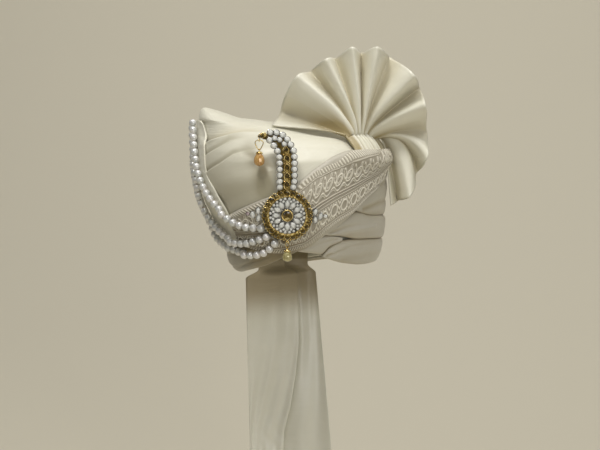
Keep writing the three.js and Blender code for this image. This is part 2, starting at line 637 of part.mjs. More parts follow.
// A closed body through round rings, with a point just past each end unless the rings meet.
function sweep(rings, sides, closed = false) {
  const positions = [];
  const indices = [];
  const across = new THREE.Vector3();
  const other = new THREE.Vector3();
  let reference = Math.abs(rings[0].ahead.z) < 0.8 ? new THREE.Vector3(0, 0, 1) : new THREE.Vector3(1, 0, 0);
  for (const { at, radius, ahead } of rings) {
    across.crossVectors(reference, ahead).normalize();
    other.crossVectors(ahead, across);
    reference = other.clone();
    for (let k = 0; k < sides; k += 1) {
      const angle = (2 * Math.PI * k) / sides;
      const point = at.clone().addScaledVector(across, radius * Math.cos(angle)).addScaledVector(other, radius * Math.sin(angle));
      positions.push(...point.toArray());
    }
  }
  const ringCount = rings.length;
  const spans = closed ? ringCount : ringCount - 1;
  for (let i = 0; i < spans; i += 1) {
    for (let k = 0; k < sides; k += 1) {
      const [a, b] = [i * sides + k, i * sides + ((k + 1) % sides)];
      const [c, d] = [((i + 1) % ringCount) * sides + k, ((i + 1) % ringCount) * sides + ((k + 1) % sides)];
      indices.push(a, b, d, a, d, c);
    }
  }
  if (!closed) {
    const [first, last] = [rings[0], rings[ringCount - 1]];
    const ends = positions.length / 3;
    positions.push(...first.at.clone().addScaledVector(first.ahead, -0.4 * first.radius).toArray());
    positions.push(...last.at.clone().addScaledVector(last.ahead, 0.4 * last.radius).toArray());
    for (let k = 0; k < sides; k += 1) {
      indices.push(ends, (k + 1) % sides, k);
      const base = (ringCount - 1) * sides;
      indices.push(ends + 1, base + k, base + ((k + 1) % sides));
    }
  }
  const geometry = new THREE.BufferGeometry();
  geometry.setAttribute('position', new THREE.Float32BufferAttribute(positions, 3));
  geometry.setIndex(indices);
  geometry.computeVertexNormals();
  return geometry;
}
for (const [name, route] of Object.entries(pearlRoutes)) addPiece(turban, name, pearlString(route), pearl);

// Brooch. A place on it is given flat, across and up from the disc's centre, and the stem is bent back.
const broochStand = 0.9; // the curved cloth comes this much nearer to the disc's rim
const broochSeat = clothTop(broochTurn, broochHeight) + restGap + broochStand;
const broochMiddle = onForm(broochTurn, broochHeight, broochSeat);
const bendStart = 30;
const stemBend = bendOfStem(); // radius of the stem's bend back over the crown

// The curl stands so far back that the drop below it hangs just clear of the front panel.
function bendOfStem() {
  const rise = curlEnd[1] * discRadius - bendStart;
  const hangs = onForm(dropTurn, broochHeight + dropLow * discRadius, wrapLift + dropGap + pearBead / 2);
  const back = hangs.y - broochMiddle.y - (rise + bendStart) * Math.sin(radians(broochLean));
  return rise ** 2 / (2 * back);
}
function broochPlace(across, up) {
  const bent = Math.max(0, up - bendStart) / stemBend;
  const rise = up > bendStart ? bendStart + stemBend * Math.sin(bent) : up;
  const back = stemBend * (1 - Math.cos(bent));
  const lean = radians(broochLean);
  const at = new THREE.Vector3(across, back * Math.cos(lean) + rise * Math.sin(lean), rise * Math.cos(lean) - back * Math.sin(lean));
  const turned = new THREE.Matrix4().makeRotationX(Math.PI / 2 - bent - lean);
  return turned.setPosition(at.add(broochMiddle));
}

function solidOf(geometry) {
  const bare = geometry.clone();
  bare.deleteAttribute('normal');
  bare.deleteAttribute('uv');
  const merged = mergeVertices(bare, 1e-4);
  const triVerts = new Uint32Array(merged.index.array);
  return new wasm.Manifold(new wasm.Mesh({ numProp: 3, vertProperties: merged.attributes.position.array, triVerts }));
}

function join(...geometries) {
  const mesh = geometries.map(solidOf).reduce((one, other) => one.add(other)).getMesh();
  const geometry = new THREE.BufferGeometry();
  geometry.setAttribute('position', new THREE.Float32BufferAttribute(mesh.vertProperties, 3));
  geometry.setIndex([...mesh.triVerts]);
  return geometry;
}

// A cut stone: eight facets up to a flat table, wide and long at its base.
function stone(across, up, wide, long, base, spin = 0, sides = 8) {
  const cut = new THREE.CylinderGeometry(0.6, 1, stoneHeight, sides);
  cut.rotateY(Math.PI / sides).rotateX(Math.PI / 2).translate(0, 0, stoneHeight / 2).scale(wide, long, 1).rotateZ(spin).translate(0, 0, base);
  return cut.applyMatrix4(broochPlace(across, up));
}
const stoneBase = plateThick + stoneGap;
const shares = (rows) => rows.map(([across, up, spin]) => [across * discRadius, up * discRadius, spin]);
const ringOf = (count, radius) =>
  [...Array(count).keys()].map((i) => {
    const angle = (2 * Math.PI * i) / count;
    return { across: radius * Math.sin(angle), up: radius * Math.cos(angle), spin: -angle };
  });

// The two eyes are set on the plate's edge: one below the curl's end, and one at the disc's foot.
const discBottom = [0, -1];
function eyePlace([across, up]) {
  const below = (up > 0 ? stemWidth / 8 : 0) + eyeRadius - 0.1;
  const aside = up > 0 ? 2.2 : 0;
  const seat = broochPlace(across * discRadius + aside, up * discRadius - below);
  return seat.multiply(new THREE.Matrix4().makeTranslation(0, 0, plateThick / 2));
}

// Gold setting: the disc's plate and the stem's, with rings for the two drops.
function settingPlate() {
  const disc = new THREE.CylinderGeometry(discRadius, discRadius - 0.6, plateThick, 24);
  disc.rotateX(Math.PI / 2).translate(0, 0, plateThick / 2).applyMatrix4(broochPlace(0, 0));
  const middle = new THREE.CatmullRomCurve3(
    [[-0.02, 0.8], [-0.02, 1.3], [-0.02, 1.8], [-0.03, 2.3], [-0.12, 2.65], [-0.3, 2.93], [-0.62, 3.12], [-0.98, 3.16]].map(
      ([across, up]) => new THREE.Vector3(across, up, 0).multiplyScalar(discRadius),
    ),
  );
  const rows = 11;
  const face = (level) => (i, j) => {
    const at = middle.getPoint(j / rows);
    const ahead = middle.getTangent(j / rows);
    const width = stemWidth * (1 - 0.75 * ease(0.6, 1, j / rows));
    const off = (i / 2 - 0.5) * width;
    const place = broochPlace(at.x + ahead.y * off, at.y - ahead.x * off);
    return new THREE.Vector3(0, 0, level).applyMatrix4(place);
  };
  const stem = slab(2, rows, face(plateThick), face(0));
  const upperEye = new THREE.TorusGeometry(eyeRadius, wire, 5, 8);
  upperEye.rotateY(Math.PI / 2).applyMatrix4(eyePlace(curlEnd));
  const lowerEye = new THREE.TorusGeometry(eyeRadius, wire, 5, 8);
  lowerEye.rotateY(Math.PI / 2).applyMatrix4(eyePlace(discBottom));
  return join(disc, stem, upperEye, lowerEye);
}
addPiece(turban, 'kalgi_setting', settingPlate(), gold);

const ringRadius = discRadius - 4.5;
const ring = ringOf(ringStones, ringRadius).map(({ across, up, spin }) => stone(across, up, 3.75, 3.75, stoneBase, spin));
addPiece(turban, 'kalgi_ring_stones', join(...ring), amber);
const petals = ringOf(petalStones, 16).map(({ across, up, spin }) => stone(across, up, 4.6, 6.4, stoneBase, spin));
addPiece(turban, 'kalgi_petal_stones', join(...petals), crystal);
const centreStone = new THREE.CylinderGeometry(centreRadius * 0.55, centreRadius, 3.2, 12);
centreStone.rotateX(Math.PI / 2).translate(0, 0, stoneBase + 1.6).applyMatrix4(broochPlace(0, 0));
addPiece(turban, 'kalgi_centre_stone', centreStone, amber);
const stemRow = (rows, wide, long) =>
  join(...shares(rows).map(([across, up, spin]) => stone(across, up, wide, long, stoneBase, spin)));
addPiece(turban, 'kalgi_right_stones', stemRow(rightStones, 4.5, 4.5), crystal);
addPiece(turban, 'kalgi_left_stones', stemRow(leftStones, 4.5, 4.5), crystal);
addPiece(turban, 'kalgi_stem_stones', stemRow(amberStones, 3.3, 7.1), amber);
addPiece(turban, 'kalgi_curl_stone', stone(curlEnd[0] * discRadius, curlEnd[1] * discRadius, 2.6, 4.2, stoneBase, 1.2), amber);
const spray = (rows) => join(...shares(rows).map(([across, up]) => stone(across, up, 4.5, 5.6, 0)));
addPiece(turban, 'kalgi_left_spray', spray(leftSpray), crystal);
addPiece(turban, 'kalgi_right_spray', spray(rightSpray), crystal);

// Drops: each hangs plumb from its eye on a wire loop, with a gold cap over its bead.
function loopOf(points, radius) {
  const curve = new THREE.CatmullRomCurve3(points, true);
  const count = 12;
  const rings = [...Array(count).keys()].map((i) => ({
    at: curve.getPointAt(i / count),
    radius,
    ahead: curve.getTangentAt(i / count),
  }));
  return sweep(rings, 5, true);
}
function addDrop(name, eye, loop, bead, beadLong, finish) {
  const points = loop.map(([across, down]) => new THREE.Vector3(eye.x + across, eye.y, eye.z + eyeRadius - wire * 2 - stoneGap - down));
  addPiece(turban, name + '_loop', loopOf(points, wire), gold);
  const lowest = Math.min(...points.map((point) => point.z));
  const bail = new THREE.TorusGeometry(1.8, wire, 5, 8);
  bail.rotateY(Math.PI / 2).translate(eye.x, eye.y, lowest + 2 * wire + stoneGap - 1.8);
  const capTop = lowest + 2 * wire + stoneGap - 3.6;
  const cap = new THREE.ConeGeometry(bead * 0.32, 3, 8, 1).translate(0, -1.5, 0);
  cap.rotateX(Math.PI / 2).translate(eye.x, eye.y, capTop + 0.4);
  addPiece(turban, name + '_cap', join(bail, cap), gold);
  const top = capTop + 0.4 - 3 - stoneGap;
  const outline = [[0, 0], [0.2, 0.03], [0.62, 0.32], [0.94, 0.58], [1, 0.72], [0.72, 0.92], [0, 1]];
  const profile = outline.map(([radius, down]) => new THREE.Vector2((radius * bead) / 2, -down * beadLong)).reverse();
  const pear = new THREE.LatheGeometry(profile, 10).rotateX(Math.PI / 2).translate(eye.x, eye.y, top);
  addPiece(turban, name + '_bead', pear, finish);
}
const heart = [[0, 0], [2.6, 0.8], [4.8, 3.8], [3.4, 8.4], [0.8, 12.5], [-0.8, 12.5], [-3.4, 8.4], [-4.8, 3.8], [-2.6, 0.8]];
const link = [[0, 0], [1.8, 1], [2, 4], [1.2, 7.4], [0, 8.2], [-1.2, 7.4], [-2, 4], [-1.8, 1]];
addDrop('upper_drop', new THREE.Vector3().applyMatrix4(eyePlace(curlEnd)), heart, pearBead, 17, amber);
addDrop('lower_drop', new THREE.Vector3().applyMatrix4(eyePlace(discBottom)), link, clearBead, 10.5, crystal);

export default turban;
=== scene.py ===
import math

import bpy
import numpy as np
from mathutils import Matrix, Vector


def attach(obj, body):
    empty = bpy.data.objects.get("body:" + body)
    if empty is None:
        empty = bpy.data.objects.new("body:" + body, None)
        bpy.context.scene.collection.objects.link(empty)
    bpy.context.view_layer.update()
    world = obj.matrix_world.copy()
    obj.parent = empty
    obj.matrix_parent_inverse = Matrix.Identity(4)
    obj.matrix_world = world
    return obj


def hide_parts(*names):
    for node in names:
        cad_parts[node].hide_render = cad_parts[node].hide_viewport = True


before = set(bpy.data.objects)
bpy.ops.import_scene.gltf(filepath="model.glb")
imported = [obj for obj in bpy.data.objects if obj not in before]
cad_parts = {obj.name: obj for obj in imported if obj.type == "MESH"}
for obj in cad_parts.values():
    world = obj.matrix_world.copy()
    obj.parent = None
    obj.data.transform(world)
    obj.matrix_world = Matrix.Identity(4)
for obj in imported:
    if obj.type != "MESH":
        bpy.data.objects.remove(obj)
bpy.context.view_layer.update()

# Crown: the turban's hollow body of cream satin, drawn up to a point on the wearer's right. It is one
# smooth sheet stretched over the inner turns, open below for the head, with soft folds towards the tip.
TIP = 208.0
REACH = {"right": 141.0, "left": 112.0, "front": 127.0, "back": 131.0}
SECTIONS = (
    (-0.067, 0.596, 0.75, 0.787, 0.794, 0),
    (0, 0.688, 0.857, 0.874, 0.863, -0.004),
    (0.12, 0.741, 0.938, 0.921, 0.916, -0.025),
    (0.274, 0.837, 0.973, 0.969, 0.962, -0.082),
    (0.466, 0.95, 0.982, 1, 1, -0.135),
    (0.663, 0.993, 1, 0.953, 0.969, -0.149),
    (0.721, 0.993, 0.938, 0.898, 0.908, -0.174),
    (0.793, 0.996, 0.786, 0.772, 0.779, -0.23),
    (0.856, 1, 0.464, 0.606, 0.611, -0.351),
    (0.899, 1, -0.089, 0.465, 0.473, -0.539),
    (0.928, 0.996, -0.714, 0.362, 0.359, -0.766),
    (0.962, 0.986, -0.911, 0.252, 0.244, -0.851),
    (0.986, 0.972, -1.054, 0.157, 0.153, -0.904),
    (1, 0.95, -1.16, 0.079, 0.076, -0.936),
)
BRIM = (
    (-180, -0.062), (-90, -0.062), (-71, -0.053), (-53, -0.029), (-30, 0.024), (-16, 0.072), (-2, 0.125),
    (10, 0.105), (24, 0.058), (44, 0.024), (60, 0.014), (90, 0.01), (130, -0.014), (180, -0.062),
)
CROWN_SINK = ((0, 1), (0.53, 1), (0.67, 0.73), (0.79, 0.36), (0.856, 0.23), (0.9, 0.05), (0.93, 0))
SINK_DEPTH = 11.0  # mm from the form to the crown, where the cloth is wound over it
CROWN_CLOTH = 2.5


def smooth(rows, column=1):
    """A smooth curve through one column of a table, read at its first column."""
    keys = np.array([row[0] for row in rows], float)
    values = np.array([row[column] for row in rows], float)
    steps = np.diff(keys)
    secant = np.diff(values) / steps
    total = secant[:-1] + secant[1:]
    product = secant[:-1] * secant[1:]
    inner = np.where(product > 0, 2 * product / np.where(total == 0, 1, total), 0)
    slopes = np.concatenate([secant[:1], inner, secant[-1:]])

    def at(x):
        x = np.clip(x, keys[0], keys[-1])
        i = np.clip(np.searchsorted(keys, x, side="right") - 1, 0, len(steps) - 1)
        t = (x - keys[i]) / steps[i]
        rise = (2 * t**3 - 3 * t**2 + 1) * values[i] + (3 * t**2 - 2 * t**3) * values[i + 1]
        return rise + ((t**3 - 2 * t**2 + t) * slopes[i] + (t**3 - t**2) * slopes[i + 1]) * steps[i]

    return at


section = {side: smooth(SECTIONS, k + 1) for k, side in enumerate(REACH)}
section_middle = smooth(SECTIONS, 5)
brim = smooth(BRIM)
sink = smooth(CROWN_SINK)


def ease(start, end, at):
    """A soft step from 0 at start to 1 at end."""
    t = np.clip((at - start) / (end - start), 0, 1)
    return t * t * (3 - 2 * t)


def form(turn, height):
    """The wound form in millimetres at a turn in degrees from the face and a height."""
    share = height / TIP
    right, left, front, back = (REACH[side] * section[side](share) for side in REACH)
    middle = REACH["right"] * section_middle(share)
    angle = np.radians(turn)
    half = np.where(np.sin(angle) < 0, right + middle, left - middle)
    x = middle + half * np.sin(angle)
    y = (back - front) / 2 - (front + back) / 2 * np.cos(angle)
    return np.stack([x, y, height + 0 * turn], axis=-1)


def normal(turn, height):
    """Unit directions out of the form."""
    top = np.minimum(height + 0.5, TIP)
    along = form(turn + 1, height) - form(turn - 1, height)
    up = form(turn, top) - form(turn, top - 1)
    out = np.cross(along, up)
    return out / np.linalg.norm(out, axis=-1, keepdims=True)


def laid(turn, height, lift):
    """Places at a lift in millimetres above the form."""
    return form(turn, height) + normal(turn, height) * np.asarray(lift)[..., None]


def slab(name, face, back, uv, ring=False, cap=False):
    """A closed sheet between a face and a back, each a grid of points in millimetres."""
    columns, rows = face.shape[:2]
    at = np.arange(2 * columns * rows).reshape(2, columns, rows)
    if ring:
        at = np.concatenate([at, at[:, :1]], axis=1)
    near, far = at

    def quads(a, b, c, d):
        return np.stack([a, b, c, d], axis=-1).reshape(-1, 4).tolist()

    faces = quads(near[:-1, :-1], near[1:, :-1], near[1:, 1:], near[:-1, 1:])
    faces += quads(far[:-1, :-1], far[:-1, 1:], far[1:, 1:], far[1:, :-1])
    faces += quads(far[:-1, 0], far[1:, 0], near[1:, 0], near[:-1, 0])
    if cap:
        faces += [near[:-1, -1].tolist(), far[:-1, -1][::-1].tolist()]
    else:
        faces += quads(near[:-1, -1], near[1:, -1], far[1:, -1], far[:-1, -1])
    if not ring:
        faces += quads(near[0, :-1], near[0, 1:], far[0, 1:], far[0, :-1])
        faces += quads(far[-1, :-1], far[-1, 1:], near[-1, 1:], near[-1, :-1])
    points = np.concatenate([face.reshape(-1, 3), back.reshape(-1, 3)]) / 1000
    mesh = bpy.data.meshes.new(name)
    mesh.from_pydata(points.tolist(), [], faces)
    corners = np.empty(len(mesh.loops), int)
    mesh.loops.foreach_get("vertex_index", corners)
    coords = np.concatenate([uv.reshape(-1, 2)] * 2)[corners]
    mesh.uv_layers.new(name="cloth").data.foreach_set("uv", coords.ravel())
    mesh.polygons.foreach_set("use_smooth", [True] * len(mesh.polygons))
    mesh.update()
    piece = bpy.data.objects.new(name, mesh)
    bpy.context.collection.objects.link(piece)
    return piece


def cloth_uv(points):
    """Lengths along and across the sheet, in metres, from its own points."""
    along = np.cumsum(np.linalg.norm(np.diff(points[:, points.shape[1] // 2], axis=0), axis=-1))
    across = np.cumsum(np.linalg.norm(np.diff(points[points.shape[0] // 2], axis=0), axis=-1))
    along = np.concatenate([[0], along]) / 1000
    across = np.concatenate([[0], across]) / 1000
    return np.stack(np.meshgrid(along, across, indexing="ij"), axis=-1)


def creases(turn, height, lines):
    """Depth in mm of creases, each ((turn, height) points, depth, width, strength at start and end)."""
    total = 0 * turn
    x, y = turn * 2.1, height
    for points, depth, width, first, last in lines:
        nearest = np.full(turn.shape, 1e9)
        share = 0 * turn
        spans = len(points) - 1
        for i in range(spans):
            ax, ay = points[i][0] * 2.1, points[i][1]
            bx, by = points[i + 1][0] * 2.1 - ax, points[i + 1][1] - ay
            t = np.clip(((x - ax) * bx + (y - ay) * by) / (bx * bx + by * by), 0, 1)
            away = np.hypot(x - ax - t * bx, y - ay - t * by)
            closer = away < nearest
            nearest = np.where(closer, away, nearest)
            share = np.where(closer, (i + t) / spans, share)
        strength = first + (last - first) * share
        total = total + depth * strength * np.exp(-((nearest / width) ** 2))
    return total


def ridge_at(turn, height, points, width):
    """From 0 to 1, how near each place is to a line of points."""
    return creases(turn, height, ((points, 1.0, width, 1, 1),))


def edge_steps(turn, height, lines):
    """Overlapping folds, raised below each line: ((turn, height) points, step, reach, first, last)."""
    total = 0 * turn
    for points, step, reach, first, last in lines:
        turns = np.array([p[0] for p in points], float)
        heights = np.array([p[1] for p in points], float)
        line = np.interp(turn, turns, heights)
        share = np.clip((turn - turns[0]) / (turns[-1] - turns[0]), 0, 1)
        beyond = ease(turns[-1] + 14, turns[-1] - 4, turn)
        strength = (first + (last - first) * share) * beyond * ease(turns[0] - 8, turns[0], turn)
        below = line - height
        rise = 1 / (1 + np.exp(np.clip(-below / 0.45, -40, 40)))
        total = total + step * strength * rise * np.exp(-np.maximum(below, 0) / reach)
        total = total - 0.5 * step * strength * (1 - rise) * np.exp(-np.maximum(-below, 0) / 5)
    return total


def tone_ramp(tree, *stops):
    """A colour ramp of (position, colour) stops."""
    ramp = tree.nodes.new("ShaderNodeValToRGB")
    for element, (position, color) in zip(ramp.color_ramp.elements, (stops[0], stops[-1])):
        element.position = position
        element.color = (*color, 1)
    for position, color in stops[1:-1]:
        element = ramp.color_ramp.elements.new(position)
        element.color = (*color, 1)
    return ramp


def satin(name, color, shade, roughness=0.42, rumple=0.25, painted_shade=(0.72, 0.63, 0.45)):
    """Satin: a soft sheen, a fine weave, slow changes of shade and a faint rumple, in the cloth's UV.

    The depth attribute of a piece holds painted shade: it darkens and warms the colour in hollows, in
    creases and under other parts.
    """
    material = bpy.data.materials.new(name)
    material.use_nodes = True
    nodes, links = material.node_tree.nodes, material.node_tree.links
    shader = nodes["Principled BSDF"]
    shader.inputs["Roughness"].default_value = roughness
    shader.inputs["Sheen Weight"].default_value = 0.2
    shader.inputs["Sheen Roughness"].default_value = 0.4
    shader.inputs["Specular IOR Level"].default_value = 0.6
    place = nodes.new("ShaderNodeTexCoord")
    slow = nodes.new("ShaderNodeTexNoise")
    slow.inputs["Scale"].default_value = 14
    slow.inputs["Detail"].default_value = 5
    links.new(place.outputs["Object"], slow.inputs["Vector"])
    ramp = tone_ramp(material.node_tree, (0.3, shade), (0.72, color))
    links.new(slow.outputs["Fac"], ramp.inputs["Fac"])
    # Painted shade: the depth attribute mixes the colour towards a darker, warmer shade colour.
    depth = nodes.new("ShaderNodeAttribute")
    depth.attribute_name = "depth"
    painted_shade_mix = nodes.new("ShaderNodeMix")
    painted_shade_mix.data_type = "RGBA"
    painted_shade_mix.blend_type = "MULTIPLY"
    painted_shade_mix.inputs["B"].default_value = (*painted_shade, 1)
    links.new(depth.outputs["Fac"], painted_shade_mix.inputs["Factor"])
    links.new(ramp.outputs["Color"], painted_shade_mix.inputs["A"])
    links.new(painted_shade_mix.outputs["Result"], shader.inputs["Base Color"])
    warp = nodes.new("ShaderNodeTexWave")
    warp.bands_direction = "DIAGONAL"
    warp.inputs["Scale"].default_value = 2600
    warp.inputs["Distortion"].default_value = 1.5
    links.new(place.outputs["UV"], warp.inputs["Vector"])
    fine = nodes.new("ShaderNodeBump")
    fine.inputs["Strength"].default_value = 0.12
    fine.inputs["Distance"].default_value = 0.00015
    links.new(warp.outputs["Fac"], fine.inputs["Height"])
    stretch = nodes.new("ShaderNodeMapping")
    stretch.inputs["Scale"].default_value = (16, 70, 1)
    links.new(place.outputs["UV"], stretch.inputs["Vector"])
    ripple = nodes.new("ShaderNodeTexNoise")
    ripple.inputs["Scale"].default_value = 1.0
    ripple.inputs["Detail"].default_value = 3
    links.new(stretch.outputs["Vector"], ripple.inputs["Vector"])
    broad = nodes.new("ShaderNodeBump")
    broad.inputs["Strength"].default_value = rumple
    broad.inputs["Distance"].default_value = 0.004
    links.new(ripple.outputs["Fac"], broad.inputs["Height"])
    links.new(fine.outputs["Normal"], broad.inputs["Normal"])
    links.new(broad.outputs["Normal"], shader.inputs["Normal"])
    return material


def set_painted_shade(piece, face, back=0.0):
    """Store how much painted shade each point of a slab's face and back gets, from 0 to 1."""
    values = np.concatenate([np.ravel(face), np.ravel(0 * face + back)])
    piece.data.attributes.new("depth", "FLOAT", "POINT").data.foreach_set("value", values)


def put(piece, material, slot, *nodes_shown):
    piece.data.materials.clear()
    piece.data.materials.append(material)
    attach(piece, "root")
    if nodes_shown:
        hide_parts(*nodes_shown)


def grid(columns, rows):
    return np.meshgrid(np.linspace(0, 1, columns), np.linspace(0, 1, rows), indexing="ij")


CREAM_SHADE = (0.73, 0.705, 0.58)
FRONT_ROWS = (
    (-67, 0.264, 0.76), (-61, 0.27, 0.784), (-44, 0.29, 0.817), (-17, 0.385, 0.85), (1, 0.457, 0.851),
    (18, 0.582, 0.84), (38, 0.673, 0.81), (60, 0.68, 0.775), (80, 0.685, 0.76), (96, 0.71, 0.75),
)


def crown():
    turns = np.linspace(-180, 180, 169)[:-1]
    turn, share = np.meshgrid(turns, np.linspace(0, 1, 80) ** 0.85, indexing="ij")
    low = TIP * brim(turn) + 0.7
    height = low + (TIP - low) * share
    pull = 0.9 * creases(turn, height, (
        (((-120, 196), (-60, 187), (-10, 182), (30, 172)), -1.0, 5, 0.9, 0.1),
        (((-20, 196), (20, 186), (60, 168)), -0.8, 6, 0.6, 0.2),
        (((160, 198), (100, 182), (70, 160)), -0.9, 7, 0.9, 0.2),
        (((-170, 199), (-220, 188), (-250, 165)), -0.8, 7, 0.9, 0.2),
    ))
    face = laid(turn, height, -SINK_DEPTH * sink(height / TIP) + pull * ease(0.99, 0.93, height / TIP))
    inner_height = low + (0.9 * TIP - low) * share
    back = laid(turn, inner_height, -SINK_DEPTH * sink(inner_height / TIP) - CROWN_CLOTH)
    piece = slab("crown_cloth", face, back, cloth_uv(face), ring=True, cap=True)
    # Painted shade on the crown along the front panel's top edge, fading over a few millimetres above it.
    above = height - TIP * smooth(FRONT_ROWS, 2)(turn)
    above_panel_shade = ease(-72, -60, turn) * ease(14, -10, turn) * (above > -4)
    set_painted_shade(piece, np.clip(0.75 * above_panel_shade * np.exp(-np.maximum(above, 0) / 5), 0, 1))
    return piece


crown_cloth = crown()
crown_satin = satin("crown_satin", (0.77, 0.75, 0.635), CREAM_SHADE, roughness=0.38)
put(crown_cloth, crown_satin, "crown_satin", "crown")

# Front panel: a sheet of the same satin laid over the crown in knife pleats that run up from the side
# wrap's edge and fade towards the fan, with its own folded and rolled top edge.
LAYER_GAP = 1.2
CROWN_GAP = 2.6
WRAP_LIFT = 1.5
PLEAT_LINES = (
    (((-67, 142), (-60, 147), (-48, 155), (-34, 165), (-18, 171)), 2.6, 20, 1, 0.1),
    (((-67, 120), (-60, 125), (-46, 136), (-34, 148), (-14, 158)), 3.0, 26, 1, 0.1),
)


def over_crown(height):
    """The lift of a cloth's underside that lies on the crown."""
    return -SINK_DEPTH * sink(height / TIP) + CROWN_GAP


def strip(rows, columns, lines, edge=0.0):
    """Turn, height and the two shares over a strip laid by turn, with its low and high edges."""
    s, t = grid(columns, lines)
    turn = rows[0][0] + (rows[-1][0] - rows[0][0]) * s
    low = TIP * smooth(rows, 1)(turn) + edge / 2
    high = np.maximum(TIP * smooth(rows, 2)(turn) - edge / 2, low + edge)
    return turn, low + (high - low) * t, s, t


def roundness(t):
    """The swell of a soft roll across its width."""
    return np.sqrt(np.maximum(0, 1 - (2 * t - 1) ** 4))


def front_panel():
    turn, height, _, t = strip(FRONT_ROWS, 330, 190)
    pleats = edge_steps(turn, height, PLEAT_LINES)
    slack = creases(turn, height, (
        (((2, 152), (14, 158), (32, 157)), -0.7, 3.0, 1, 0.6),
        (((-30, 128), (-12, 140), (10, 150)), -1.6, 9, 0.3, 1),
        (((-62, 84), (-44, 88), (-20, 106)), -2.2, 11, 1, 0.6),
        (((-46, 108), (-28, 118), (-12, 122)), 1.0, 9, 0.5, 1),
        (((-26, 150), (-8, 132), (-4, 112)), -1.4, 5, 0.3, 1),
    ))
    edge = 1 - (1 - np.clip((1 - t) / 0.02, 0, 1)) ** 2
    thick = np.where(t > 0.5, np.sqrt(edge), 1.0)
    deep = over_crown(height)
    rolled = 1.5 * np.exp(-((1 - t) / 0.03) ** 2) * ease(30, -30, turn)
    outer = WRAP_LIFT + pleats + slack + rolled
    face = laid(turn, height, np.maximum(deep + (outer - deep) * thick, deep + 0.6))
    back = laid(turn, height, deep)
    piece = slab("front_panel_cloth", face, back, cloth_uv(face))
    # Painted shade: darker towards the bottom away from the fan, just below each pleat line on the left, and
    # in a strip beside the brooch's stem where its shadow falls.
    low = ease(150, 96, height) * ease(40, -10, turn)
    pleat_edge_shade = 0
    for points, *_ in PLEAT_LINES:
        line = np.interp(turn, [point[0] for point in points], [point[1] for point in points])
        pleat_edge_shade = pleat_edge_shade + ease(6, 0, np.abs(height - 3 - line)) * ease(-16, -34, turn)
    painted_shade = ridge_at(turn, height, ((-20, 152), (-15, 134), (-14, 108)), 12)
    set_painted_shade(piece, np.clip(0.7 * low + 0.6 * pleat_edge_shade + 0.8 * painted_shade, 0, 1))
    return piece


front_cloth = front_panel()
panel_satin = satin(
    "panel_satin", (0.78, 0.755, 0.635), CREAM_SHADE, roughness=0.36, painted_shade=(0.56, 0.53, 0.45))
put(front_cloth, panel_satin, "panel_satin", "front_panel")

# Brow wrap and rolls: the cloth wound round the brow, folded lengthwise into soft thick turns with fine
# creases along them. They run from the face round to the back, where the side wrap covers their ends.
# Each has rows of turn, low edge and high edge as shares of the tip's height, and a mesh's two counts.
ROLLS = {
    "brow_wrap": ((
        (-179.5, -0.062, 0.12), (-160, -0.062, 0.155), (-120, -0.062, 0.159), (-71, -0.053, 0.159),
        (-53, -0.029, 0.159), (-30, 0.024, 0.159), (-16, 0.072, 0.16), (-2, 0.125, 0.17),
    ), 230, 34),
    "brow_fold": ((
        (-1.5, 0.125, 0.165), (8, 0.112, 0.205), (14, 0.106, 0.22), (20, 0.15, 0.223), (30, 0.188, 0.208),
    ), 60, 24),
    "lower_roll": ((
        (15, 0.088, 0.101), (20, 0.072, 0.145), (30, 0.046, 0.184), (36, 0.036, 0.188), (50, 0.019, 0.183),
        (76, 0.012, 0.168), (130, -0.014, 0.14), (179.8, -0.062, 0.125),
    ), 210, 36),
    "middle_roll": ((
        (16, 0.228, 0.24), (30, 0.212, 0.31), (42, 0.19, 0.36), (55, 0.183, 0.332), (76, 0.168, 0.317),
        (130, 0.14, 0.28), (160, 0.13, 0.27), (186, 0.16, 0.26),
    ), 220, 36),
    "upper_roll": ((
        (41.5, 0.368, 0.38), (55, 0.332, 0.52), (76, 0.317, 0.65), (100, 0.3, 0.7), (130, 0.28, 0.69),
        (190, 0.26, 0.64),
    ), 200, 60),
}
ROLL_CREASES = {
    "brow_wrap": (
        (((-120, 16), (-80, 14), (-50, 20), (-20, 28)), -1.8, 2.6, 0.4, 1),
        (((-95, -3), (-72, -2), (-58, 0), (-44, 8), (-24, 19)), -1.6, 1.6, 0.8, 0.5),
        (((-95, -9), (-72, -8), (-58, -5), (-44, 3), (-30, 10)), 1.4, 3.0, 1, 0.3),
    ),
    "brow_fold": ((((2, 30), (16, 38), (26, 42)), -0.8, 1.6, 0.6, 1),),
    "lower_roll": (
        (((18, 20), (26, 26), (36, 32), (62, 33)), -1.8, 2.0, 1, 0.1),
        (((22, 24), (30, 30), (42, 35)), 1.2, 1.8, 1, 0.2),
        (((30, 14), (50, 17), (80, 16)), -1.2, 4.0, 0.6, 0.4),
    ),
    "middle_roll": (
        (((22, 50), (32, 56), (46, 60)), -1.6, 2.2, 1, 0.1),
        (((20, 46), (30, 50), (44, 53), (60, 54)), 1.4, 2.6, 0.4, 0.9),
        (((34, 46), (54, 46), (90, 44)), -1.2, 3.4, 0.7, 0.2),
    ),
    "upper_roll": (
        (((48, 78), (64, 84), (90, 86), (160, 84)), -2.0, 3.2, 1, 0.5),
        (((66, 108), (90, 114), (140, 112)), -2.0, 4.0, 0.6, 0.6),
        (((56, 92), (76, 100), (110, 102)), 1.4, 5.0, 0.6, 0.6),
    ),
}
# Painted shade: the rolls and, darker still, the brow wrap get darker copies of the cream satin's colour.
wrap_satin = satin("wrap_satin", (0.59, 0.56, 0.475), (0.51, 0.48, 0.395), roughness=0.4, rumple=0.35)
shaded_brow_satin = satin("shaded_brow_satin", (0.44, 0.415, 0.35), (0.38, 0.355, 0.29), roughness=0.4, rumple=0.35)
